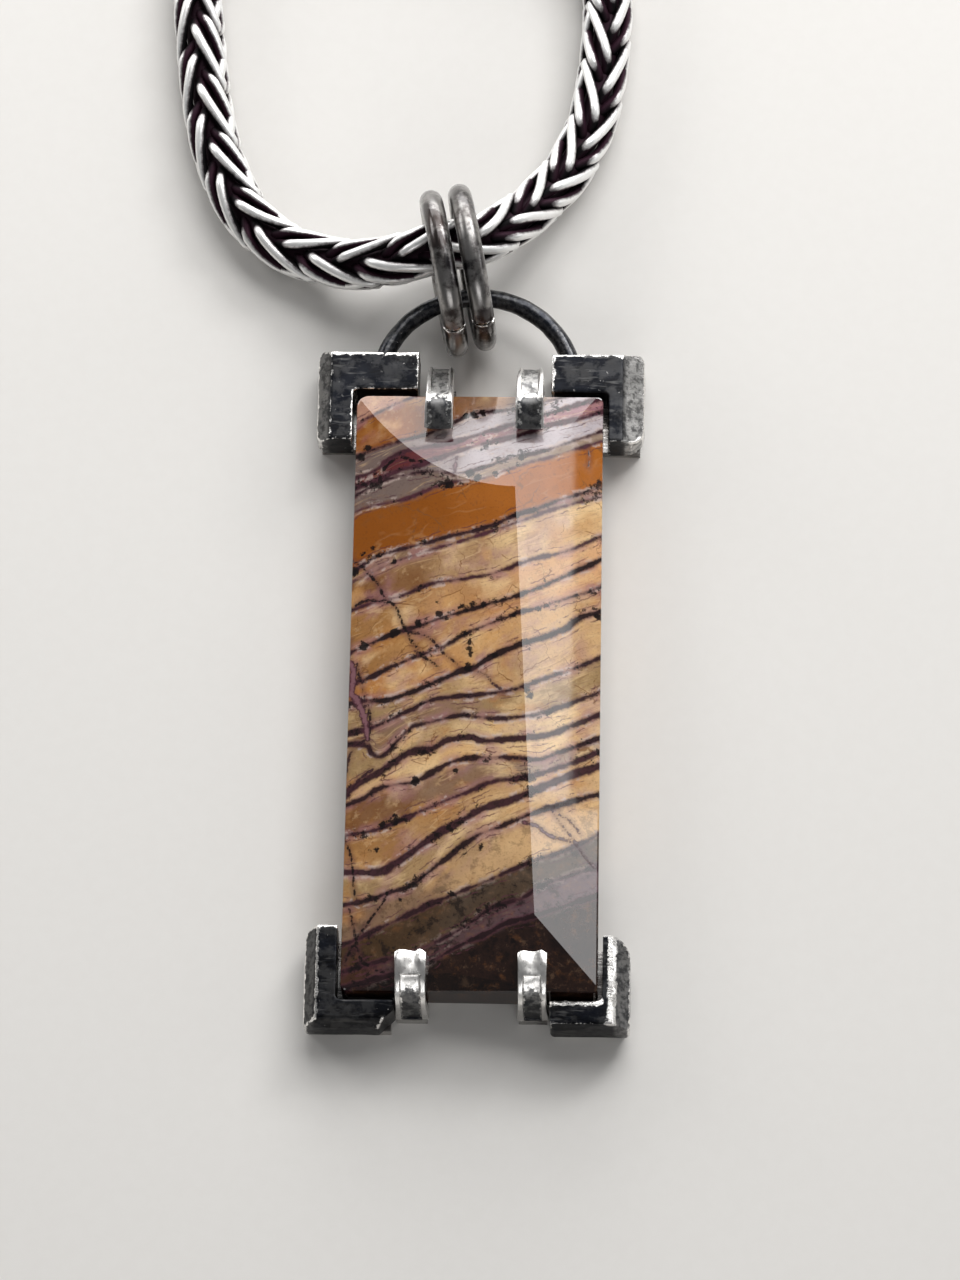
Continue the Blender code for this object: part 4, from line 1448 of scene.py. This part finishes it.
def saw_bracket(name, settings):
    """An L of thick sheet: one arm is a block, the other is extruded from it, its outer corners
    are rounded, the top's outer edges are filed to a slope, and it is hammered a little."""
    shape = BRACKETS[name]
    outer, inner, ends, slopes = (shape[key] for key in ("outer", "inner", "ends", "slopes"))
    deselect()
    low, high = BRACKET_FOOT_Z, BRACKET_TOP_Z
    centre = at_stone((outer[0] + ends[0]) / 2, (outer[1] + inner[1]) / 2, (low + high) / 2)
    size = (abs(outer[0] - ends[0]), abs(outer[1] - inner[1]), high - low)
    bpy.ops.mesh.primitive_cube_add(size=1, location=centre, scale=[s * MM for s in size])
    bracket = named(name + "_filed")
    bpy.ops.object.transform_apply(location=True, rotation=True, scale=True)
    bpy.ops.object.mode_set(mode="EDIT")
    cut(at_stone(inner[0], 0, 0), (1, 0, 0))
    inward = -math.copysign(1, outer[1])
    outward_x = math.copysign(1, outer[0])

    def arm_face(face):
        spot = face.calc_center_median() / MM
        return face.normal.y * inward > 0.9 and (spot.x - inner[0]) * outward_x > 0

    choose("FACE", arm_face)
    reach = (ends[1] - inner[1]) * MM
    bpy.ops.mesh.extrude_region_move(TRANSFORM_OT_translate={"value": (0, reach, 0)})
    corner, y_end, x_end = shape["rounds"]
    round_upright(outer[0], outer[1], corner, 4)
    round_upright(outer[0], ends[1], y_end, 5)
    # The widest rounding is a corner clipped straight off
    round_upright(ends[0], outer[1], x_end, 1 if x_end > 1 else 3)
    round_upright(inner[0], inner[1], BRACKET_INNER_ROUND, 3)
    drop = BRACKET_BEVEL_DROP
    crest_x = toward_zero(outer[0], slopes[0])
    cut(at_stone(crest_x, 0, high), (outward_x * drop, 0, slopes[0]), trim=True)
    crest_y = toward_zero(outer[1], slopes[1])
    cut(at_stone(0, crest_y, high), (0, -inward * drop, slopes[1]), trim=True)
    bpy.ops.object.mode_set(mode="OBJECT")
    sharp = sharp_edges(bracket, SHARP)
    round_edges(bracket, settings.bracket_round / MM, 3, SHARP)
    score(bracket, step=0.3)
    hammer(bracket, size=1.6, depth=0.09)
    settle(bracket, degrees=30)
    points = points_of(bracket)
    worn = np.full(len(points), UNWORN)
    for a, b in sharp:
        middle = (a + b) / 2
        part = bracket_edge(name, middle[0], middle[1] - STONE_Y, middle[2])
        offset = shape["wear"].get(part, CORNER_WEAR if part == "corner" else UNWORN)
        if middle[2] > BRACKET_FOOT_Z + WORN_ABOVE:
            distance = nearest(points, np.array([a]), np.array([b]))[0]
            worn = np.minimum(worn, distance + offset)
    store(bracket, "edge", worn)
    on_slope = (points[:, 0] - crest_x) * outward_x
    store(bracket, "rub", shape["rub"] * ease(on_slope / SLOPE_START))
    return bracket


def round_edges(piece, width, segments, degrees):
    """Rounds the edges that bend more than this, to this width in millimetres."""
    modify(
        piece,
        "BEVEL",
        width=width * MM,
        segments=segments,
        limit_method="ANGLE",
        angle_limit=math.radians(degrees),
    )


def hammer(piece, size, depth):
    """Uneven faces, as hand work leaves them: hollows this wide and this deep, in millimetres."""
    clouds = bpy.data.textures.new(piece.name + "_hammer", "CLOUDS")
    clouds.noise_scale = size * MM
    modify(piece, "DISPLACE", texture=clouds, strength=depth * MM, mid_level=0.5)


def bend_prong(name):
    """A ribbon is drawn along the prong's line and thickened. The middle of its outer face is
    pressed in between two rails, and its edges are rounded and smoothed."""
    middle, width, end = PRONGS[name]
    out = math.copysign(1, end)
    top = out > 0
    line = TOP_PRONG_LINE if top else BOTTOM_PRONG_LINE
    spots = [at_stone(middle, end + out * step, z) for step, z in line]
    groove = None if top else PRONG_GROOVE[name]
    across = Vector((width / 2 * MM, 0, 0))
    deselect()
    bpy.ops.mesh.primitive_plane_add(size=1)
    prong = named(name + "_bent")
    corners = (spots[0] - across, spots[0] + across, spots[1] - across, spots[1] + across)
    for vertex, corner in zip(prong.data.vertices, corners):
        vertex.co = corner
    bpy.ops.object.mode_set(mode="EDIT")
    for before, here in zip(spots[1:], spots[2:]):
        row = (before - across, before + across)
        choose("EDGE", lambda edge: all(is_at(vertex, row) for vertex in edge.verts))
        bpy.ops.mesh.extrude_edges_move(TRANSFORM_OT_translate={"value": here - before})
    rail = PRONG_RAIL
    for aside in (rail - width / 2, width / 2 - rail, groove):
        if aside is not None:
            cut(spots[0] + Vector((aside * MM, 0, 0)), (1, 0, 0))
    bpy.ops.object.mode_set(mode="OBJECT")
    points = points_of(prong)
    aside = points[:, 0] - middle
    inward = (end + out * line[0][0] + STONE_Y - points[:, 1]) * out
    tip = inward > line[0][0] - line[-1][0] - ROW_REACH
    near_tip = inward > line[0][0] - line[-2][0] - ROW_REACH
    edge_row = abs(aside) > width / 2 - ROW_REACH
    points[tip & edge_row, 1] += out * TIP_BACK[top]
    if top:
        fold = points[:, 2] > CRUMPLE_Z
        wave = points[fold, 0] * CRUMPLE_WAVES[0] + points[fold, 1] * CRUMPLE_WAVES[1]
        points[fold, 2] += CRUMPLE * np.sin(wave)
    else:
        in_groove = abs(aside - groove) < ROW_REACH
        points[near_tip & in_groove, 2] -= GROOVE_DOWN
        points[tip & in_groove, 1] += out * GROOVE_BACK
        points[tip & edge_row, 2] -= TIP_DOWN
    foot = points[:, 2] < FLARE_TO_Z[top]
    points[foot & edge_row, 0] += np.sign(aside[foot & edge_row]) * PRONG_FLARE[top]
    put_points(prong, points)
    modify(prong, "SOLIDIFY", thickness=PRONG_THICKNESS * MM, offset=0.0, use_even_offset=True)

    def pressed(face):
        spot = face.calc_center_median() / MM
        outside = face.normal.y * out > 0.3 or face.normal.z > 0.25
        inner_strip = abs(spot.x - middle) < width / 2 - rail
        step = (spot.y - STONE_Y - end) * out
        return outside and inner_strip and step > PRESSED_TO[top]

    bpy.ops.object.mode_set(mode="EDIT")
    bpy.ops.mesh.select_all(action="SELECT")
    bpy.ops.mesh.normals_make_consistent(inside=False)
    choose("FACE", pressed)
    depth = -PRONG_PRESS * MM
    bpy.ops.mesh.extrude_region_shrink_fatten(TRANSFORM_OT_shrink_fatten={"value": depth})
    bpy.ops.object.mode_set(mode="OBJECT")
    round_edges(prong, WIRE_ROUND, 2, 40)
    modify(prong, "SUBSURF", levels=3, render_levels=3)
    hammer(prong, size=0.7, depth=0.05)
    settle(prong, degrees=60)
    points = points_of(prong)
    aside = abs(points[:, 0] - middle)
    step = (points[:, 1] - STONE_Y - end) * out
    z = points[:, 2]
    # The rails and the highest places are rubbed bright, and a top prong's tip stays dark
    worn = np.clip(width / 2 - rail * RAIL_WORN - aside, 0, FAR_OFF)
    if top:
        worn = np.minimum(worn, np.hypot(step - KNUCKLE[0], z - KNUCKLE[1]) * 0.6)
        on_tip = (step < TIP_FROM) & (aside < width / 2 - 0.1)
        worn = np.where(on_tip, np.maximum(worn, TIP_WEAR), worn)
        rub = TOP_RUB * ease((step - TOP_RUB_FROM) / TOP_RUB_OVER) + TOP_RUB_LEAST
    else:
        worn = np.minimum(worn, np.clip(BOTTOM_CREST_Z - z, 0, FAR_OFF) * 0.5)
        rub = BOTTOM_RUB * ease(z - BOTTOM_RUB_FROM_Z)
    store(prong, "edge", worn)
    store(prong, "rub", rub)
    return prong


def bend_wire(name, centre, axis, radius, wire, start, turn, steps, sides=24):
    """A round wire bent about an axis: a circle is spun, and its two ends are closed.
    The radius and the wire are in millimetres, the start and the turn in degrees."""
    deselect()
    away = Vector(axis).normalized()
    zero = away.cross(UP).normalized() if abs(away.z) < 0.99 else Vector((1, 0, 0))
    first = Matrix.Rotation(math.radians(start), 3, away) @ zero
    ahead = away.cross(first)
    matrix = Matrix((first, away, ahead)).transposed()
    bpy.ops.mesh.primitive_circle_add(
        vertices=sides,
        radius=wire / 2 * MM,
        location=centre + first * radius * MM,
        rotation=matrix.to_euler(),
    )
    piece = named(name)
    bpy.ops.object.transform_apply(location=True, rotation=True, scale=True)
    bpy.ops.object.mode_set(mode="EDIT")
    bpy.ops.mesh.select_all(action="SELECT")
    full = turn == 360
    if not full:
        bpy.ops.mesh.edge_face_add()
    bpy.ops.mesh.spin(
        steps=steps, angle=-math.radians(turn), center=centre, axis=away, dupli=False
    )
    if full:
        bpy.ops.mesh.select_all(action="SELECT")
        bpy.ops.mesh.remove_doubles(threshold=MERGE_REACH)
    bpy.ops.object.mode_set(mode="OBJECT")
    return piece


def mark_wire(piece, rims, rub):
    """Marks a wire: its ends' rims count as edges, and the rest is rubbed evenly."""
    if rims:
        mark_edges(piece, rims)
    else:
        store(piece, "edge", np.full(len(piece.data.vertices), UNWORN))
    store(piece, "rub", np.full(len(piece.data.vertices), rub))


def make_bail():
    """The bow of wire between the two upper corners."""
    centre = at_stone(*BAIL_CENTRE, BAIL_Z)
    start = math.degrees(math.asin((BAIL_FOOT_Y - BAIL_CENTRE[1]) / BAIL_RADIUS))
    turn = 180 - 2 * start
    bail = bend_wire("bail_bow", centre, UP, BAIL_RADIUS, BAIL_WIRE, start, turn, steps=40)
    hammer(bail, size=0.9, depth=0.1)
    settle(bail, degrees=40)
    mark_wire(bail, None, rub=0.0)
    return bail


def make_ring(name, settings):
    """A jump ring in its node's place, with its sawn seam."""
    low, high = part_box(name)
    radius = (RING_OUTER - RING_WIRE) / 2
    gap = math.degrees(settings.gap / MM / radius)
    start = math.degrees(settings.seam) + gap / 2
    ring = bend_wire(
        name + "_closed", (low + high) / 2, RING_AXIS, radius, RING_WIRE, start, 360 - gap, steps=96
    )
    rims = sharp_edges(ring, 60)
    round_edges(ring, WIRE_ROUND, 2, 60)
    settle(ring, degrees=40)
    mark_wire(ring, rims, rub=0.0)
    return ring


# The chain's ends


def lathe(name, profile, sides, place, way):
    """A turned piece: a circle is extruded and resized up its profile of radius and height."""
    deselect()
    bpy.ops.mesh.primitive_circle_add(vertices=sides, radius=profile[0][0] * MM, fill_type="NGON")
    piece = named(name)
    bpy.ops.object.mode_set(mode="EDIT")
    bpy.ops.mesh.select_mode(type="FACE")
    bpy.ops.mesh.select_all(action="SELECT")
    for (radius, height), (next_radius, next_height) in zip(profile, profile[1:]):
        rise = (0, 0, (next_height - height) * MM)
        bpy.ops.mesh.extrude_region_move(TRANSFORM_OT_translate={"value": rise})
        ratio = next_radius / radius
        bpy.ops.transform.resize(value=(ratio, ratio, 1), center_override=(0, 0, next_height * MM))
    bpy.ops.object.mode_set(mode="OBJECT")
    turn = Vector(UP).rotation_difference(Vector(way))
    piece.matrix_world = Matrix.Translation(Vector(place) * MM) @ turn.to_matrix().to_4x4()
    return piece


def make_cap(name, degrees):
    """A turned cap on the chain's end at this angle of the coil."""
    place, way, _, _ = chain_end(degrees)
    cap = lathe(name + "_turned", CAP_PROFILE, 40, place, way)
    settle(cap, degrees=35)
    mark_wire(cap, sharp_edges(cap, 20), rub=0.5)
    return cap


def make_eye():
    """The clasp's eye: a closed ring of wire on the first cap's neck."""
    place, way, _, _ = chain_end(FIRST_STRAND[2])
    centre = (place + way * (CAP_LENGTH + CLASP_GAP + EYE_RADIUS + CLASP_WIRE / 2)) * MM
    eye = bend_wire(
        "clasp_eye_wire", centre, UP, EYE_RADIUS, CLASP_WIRE, 0, 360, steps=48, sides=CLASP_SIDES
    )
    settle(eye, degrees=40)
    # The wire is hammered a little flat, as a soldered eye is
    points = points_of(eye)
    points[:, 2] = CAP_Z + (points[:, 2] - CAP_Z) * EYE_FLATTENED
    put_points(eye, points)
    mark_wire(eye, None, rub=0.7)
    return eye


def make_hook():
    """The clasp's hook: a wire bent round at its end and drawn straight to the second cap."""
    place, way, _, _ = chain_end(SECOND_STRAND[2])
    aside = Vector((-way.y, way.x, 0.0))
    bend_from = place + way * (CAP_LENGTH + CLASP_GAP + HOOK_STRAIGHT)
    hub = (bend_from + aside * HOOK_RADIUS) * MM
    start = math.degrees(math.atan2(-aside.y, -aside.x))
    hook = bend_wire(
        "clasp_hook_wire", hub, UP, HOOK_RADIUS, CLASP_WIRE, start, HOOK_TURN,
        steps=28, sides=CLASP_SIDES,
    )

    def rear_end(face):
        near = (face.calc_center_median() - bend_from * MM).length < CLASP_WIRE / 3 * MM
        return len(face.verts) > 4 and near

    bpy.ops.object.mode_set(mode="EDIT")
    choose("FACE", rear_end)
    bpy.ops.mesh.extrude_region_move(TRANSFORM_OT_translate={"value": -way * HOOK_STRAIGHT * MM})
    bpy.ops.object.mode_set(mode="OBJECT")
    round_edges(hook, HOOK_TIP_ROUND, 3, 60)
    settle(hook, degrees=40)
    mark_wire(hook, None, rub=0.7)
    return hook


# Settings, operators and panel


class StoneSettings(bpy.types.PropertyGroup):
    """What a cutter may change on the stone"""

    polish: FloatProperty(
        name="Girdle Polish",
        description="Width of the rounded edge round the stone",
        default=0.12 * MM,
        min=0.02 * MM,
        max=0.4 * MM,
        precision=5,
        unit="LENGTH",
    )


class SilverSettings(bpy.types.PropertyGroup):
    """What a silversmith may change on the setting"""

    bracket_round: FloatProperty(
        name="Bracket Rounding",
        description="How far the brackets' edges are rounded",
        default=0.1 * MM,
        min=0.02 * MM,
        max=0.3 * MM,
        precision=5,
        unit="LENGTH",
    )
    seam: FloatProperty(
        name="Ring Seam",
        description="Where on its circle a jump ring is sawn",
        default=math.radians(339),
        subtype="ANGLE",
    )
    gap: FloatProperty(
        name="Seam Gap",
        description="Width of a jump ring's open seam",
        default=0.12 * MM,
        min=0.02 * MM,
        max=1.0 * MM,
        precision=5,
        unit="LENGTH",
    )
    blackened: FloatVectorProperty(
        name="Blackened Silver",
        description="Colour of the silver's dark patina",
        default=(0.008, 0.009, 0.012),
        min=0.0,
        max=1.0,
        subtype="COLOR",
    )
    bright: FloatVectorProperty(
        name="Bright Silver",
        description="Colour of rubbed silver",
        default=(0.9, 0.88, 0.85),
        min=0.0,
        max=1.0,
        subtype="COLOR",
    )
    patina_sheen: FloatProperty(
        name="Patina Sheen",
        description="How much the dark patina shines",
        default=0.25,
        min=0.0,
        max=1.0,
        subtype="FACTOR",
    )


class StageSettings(bpy.types.PropertyGroup):
    """What may change round the pendant"""

    floor: FloatVectorProperty(
        name="Floor",
        description="Colour of the pale floor",
        default=(0.74, 0.72, 0.69),
        min=0.0,
        max=1.0,
        subtype="COLOR",
    )
    room: FloatProperty(
        name="Room Light",
        description="Strength of the even light all round",
        default=0.14,
        min=0.0,
        max=5.0,
    )
    windows: FloatProperty(
        name="Windows",
        description="Share of the window lights' full strength",
        default=1.0,
        min=0.0,
        max=2.0,
        subtype="FACTOR",
    )


class PENDANT_OT_place_camera(bpy.types.Operator):
    """Place the camera, which looks down on the pendant from its lower end"""

    bl_idname = "pendant.place_camera"
    bl_label = "Place Camera"

    def execute(self, context):
        deselect()
        turn = [math.radians(degrees) for degrees in CAMERA_TURN]
        bpy.ops.object.camera_add(location=CAMERA_PLACE, rotation=turn)
        camera = context.object
        camera.data.sensor_fit = "VERTICAL"
        camera.data.sensor_width, camera.data.sensor_height = CAMERA_SENSOR
        camera.data.lens = CAMERA_LENS
        camera.data.clip_start = CAMERA_NEAR
        context.scene.camera = camera
        return {"FINISHED"}


class PENDANT_OT_weave_chain(bpy.types.Operator):
    """Weave the chain along its route and its coil"""

    bl_idname = "pendant.weave_chain"
    bl_label = "Weave Chain"

    def execute(self, context):
        # Every silver uses these three, and the chain is the first to be made
        make_wear_group()
        make_scratch_group()
        make_tarnish_group()
        make_chain(make_chain_silver())
        return {"FINISHED"}


class PENDANT_OT_close_ends(bpy.types.Operator):
    """Turn the caps for the chain's ends and bend the clasp's eye and hook"""

    bl_idname = "pendant.close_ends"
    bl_label = "Close Chain Ends"

    def execute(self, context):
        finish = make_silver("clasp_silver", context.scene.pendant_silver)
        pieces = {
            "end_cap_eye": make_cap("end_cap_eye", FIRST_STRAND[2]),
            "end_cap_hook": make_cap("end_cap_hook", SECOND_STRAND[2]),
            "clasp_eye": make_eye(),
            "clasp_hook": make_hook(),
        }
        for node, piece in pieces.items():
            stand_for(piece, (node,), finish)
        line = chain_line()
        return {"FINISHED"}


class PENDANT_OT_cut_stone(bpy.types.Operator):
    """Cut, facet and polish the banded rhyolite"""

    bl_idname = "pendant.cut_stone"
    bl_label = "Cut Stone"

    def execute(self, context):
        stone = cut_stone(context.scene.pendant_stone)
        mark_stone(stone)
        stand_for(stone, ("stone",), make_rhyolite())
        return {"FINISHED"}


class PENDANT_OT_file_brackets(bpy.types.Operator):
    """Saw and file the four corner brackets, and finish the plate behind them"""

    bl_idname = "pendant.file_brackets"
    bl_label = "File Brackets"

    def execute(self, context):
        silver = context.scene.pendant_silver
        finish = make_silver("filed_silver", silver)
        for name in BRACKETS:
            stand_for(saw_bracket(name, silver), (name,), finish)
        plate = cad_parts["back_plate"]
        plate.data.materials.clear()
        plate.data.materials.append(make_plate_silver(silver))
        return {"FINISHED"}


class PENDANT_OT_bend_prongs(bpy.types.Operator):
    """Bend the four prongs over the stone's ends"""

    bl_idname = "pendant.bend_prongs"
    bl_label = "Bend Prongs"

    def execute(self, context):
        finish = make_silver("bent_silver", context.scene.pendant_silver)
        for name in PRONGS:
            stand_for(bend_prong(name), (name,), finish)
        return {"FINISHED"}


class PENDANT_OT_bend_bail(bpy.types.Operator):
    """Bend the bail and close the two jump rings on it"""

    bl_idname = "pendant.bend_bail"
    bl_label = "Bend Bail and Rings"

    def execute(self, context):
        silver = context.scene.pendant_silver
        finish = make_silver("bail_silver", silver)
        stand_for(make_bail(), ("bail",), finish)
        finish = make_silver("ring_silver", silver)
        for name in ("jump_ring_left", "jump_ring_right"):
            stand_for(make_ring(name, silver), (name,), finish)
        return {"FINISHED"}


class PENDANT_OT_set_stage(bpy.types.Operator):
    """Lay the pale floor and set the soft studio lights"""

    bl_idname = "pendant.set_stage"
    bl_label = "Set Stage"

    def execute(self, context):
        stage = context.scene.pendant_stage
        deselect()
        bpy.ops.mesh.primitive_plane_add(size=FLOOR_SIZE)
        floor = named("floor")
        made, tree, shader = new_finish("floor_paper", Roughness=0.85)
        fibre = noise(tree, millimetres(tree), 0.9, 5.0, 0.65)
        fleck = between(tree, fibre, 0.35, 0.65, 0.0, 0.06)
        tone = blend(tree, fleck, tuple(stage.floor), FLOOR_FLECK)
        tree.links.new(tone, shader.inputs["Base Color"])
        floor.data.materials.append(made)
        for name, place, away, spin, (width, height), radiance in LIGHTS:
            toward = (-Vector(away)).to_track_quat("-Z", "Y").to_matrix()
            turn = (toward @ Matrix.Rotation(math.radians(spin), 3, "Z")).to_euler()
            bpy.ops.object.light_add(type="AREA", location=Vector(place) * MM, rotation=turn)
            light = context.object
            light.name = name
            light.data.shape = "RECTANGLE"
            light.data.size, light.data.size_y = width * MM, height * MM
            area = light.data.size * light.data.size_y
            light.data.energy = stage.windows * radiance * area * math.pi
        world = bpy.data.worlds.new("room")
        world.use_nodes = True
        backdrop = world.node_tree.nodes["Background"]
        backdrop.inputs["Color"].default_value = ROOM_COLOUR
        backdrop.inputs["Strength"].default_value = stage.room
        context.scene.world = world
        context.scene.view_settings.view_transform = "Standard"
        return {"FINISHED"}


class PENDANT_PT_panel(bpy.types.Panel):
    """The pendant's pieces, in the order they are made"""

    bl_idname = "PENDANT_PT_panel"
    bl_label = "Rhyolite Pendant"
    bl_space_type = "VIEW_3D"
    bl_region_type = "UI"
    bl_category = "Pendant"

    def draw(self, context):
        for step in STEPS:
            self.layout.operator(step.bl_idname)


STEPS = (
    PENDANT_OT_place_camera,
    PENDANT_OT_weave_chain,
    PENDANT_OT_close_ends,
    PENDANT_OT_cut_stone,
    PENDANT_OT_file_brackets,
    PENDANT_OT_bend_prongs,
    PENDANT_OT_bend_bail,
    PENDANT_OT_set_stage,
)
GROUPS = (
    ("pendant_stone", StoneSettings),
    ("pendant_silver", SilverSettings),
    ("pendant_stage", StageSettings),
)


def register():
    """Makes the settings, the operators and the panel known."""
    for name, group in GROUPS:
        bpy.utils.register_class(group)
        setattr(bpy.types.Scene, name, PointerProperty(type=group))
    for step in STEPS:
        bpy.utils.register_class(step)
    bpy.utils.register_class(PENDANT_PT_panel)


def unregister():
    """Takes back what register did, in reverse."""
    bpy.utils.unregister_class(PENDANT_PT_panel)
    for step in reversed(STEPS):
        bpy.utils.unregister_class(step)
    for name, group in reversed(GROUPS):
        delattr(bpy.types.Scene, name)
        bpy.utils.unregister_class(group)


def main():
    """Makes every piece in order."""
    register()
    for step in STEPS:
        space, name = step.bl_idname.split(".")
        getattr(getattr(bpy.ops, space), name)()


if __name__ == "__main__":
    main()
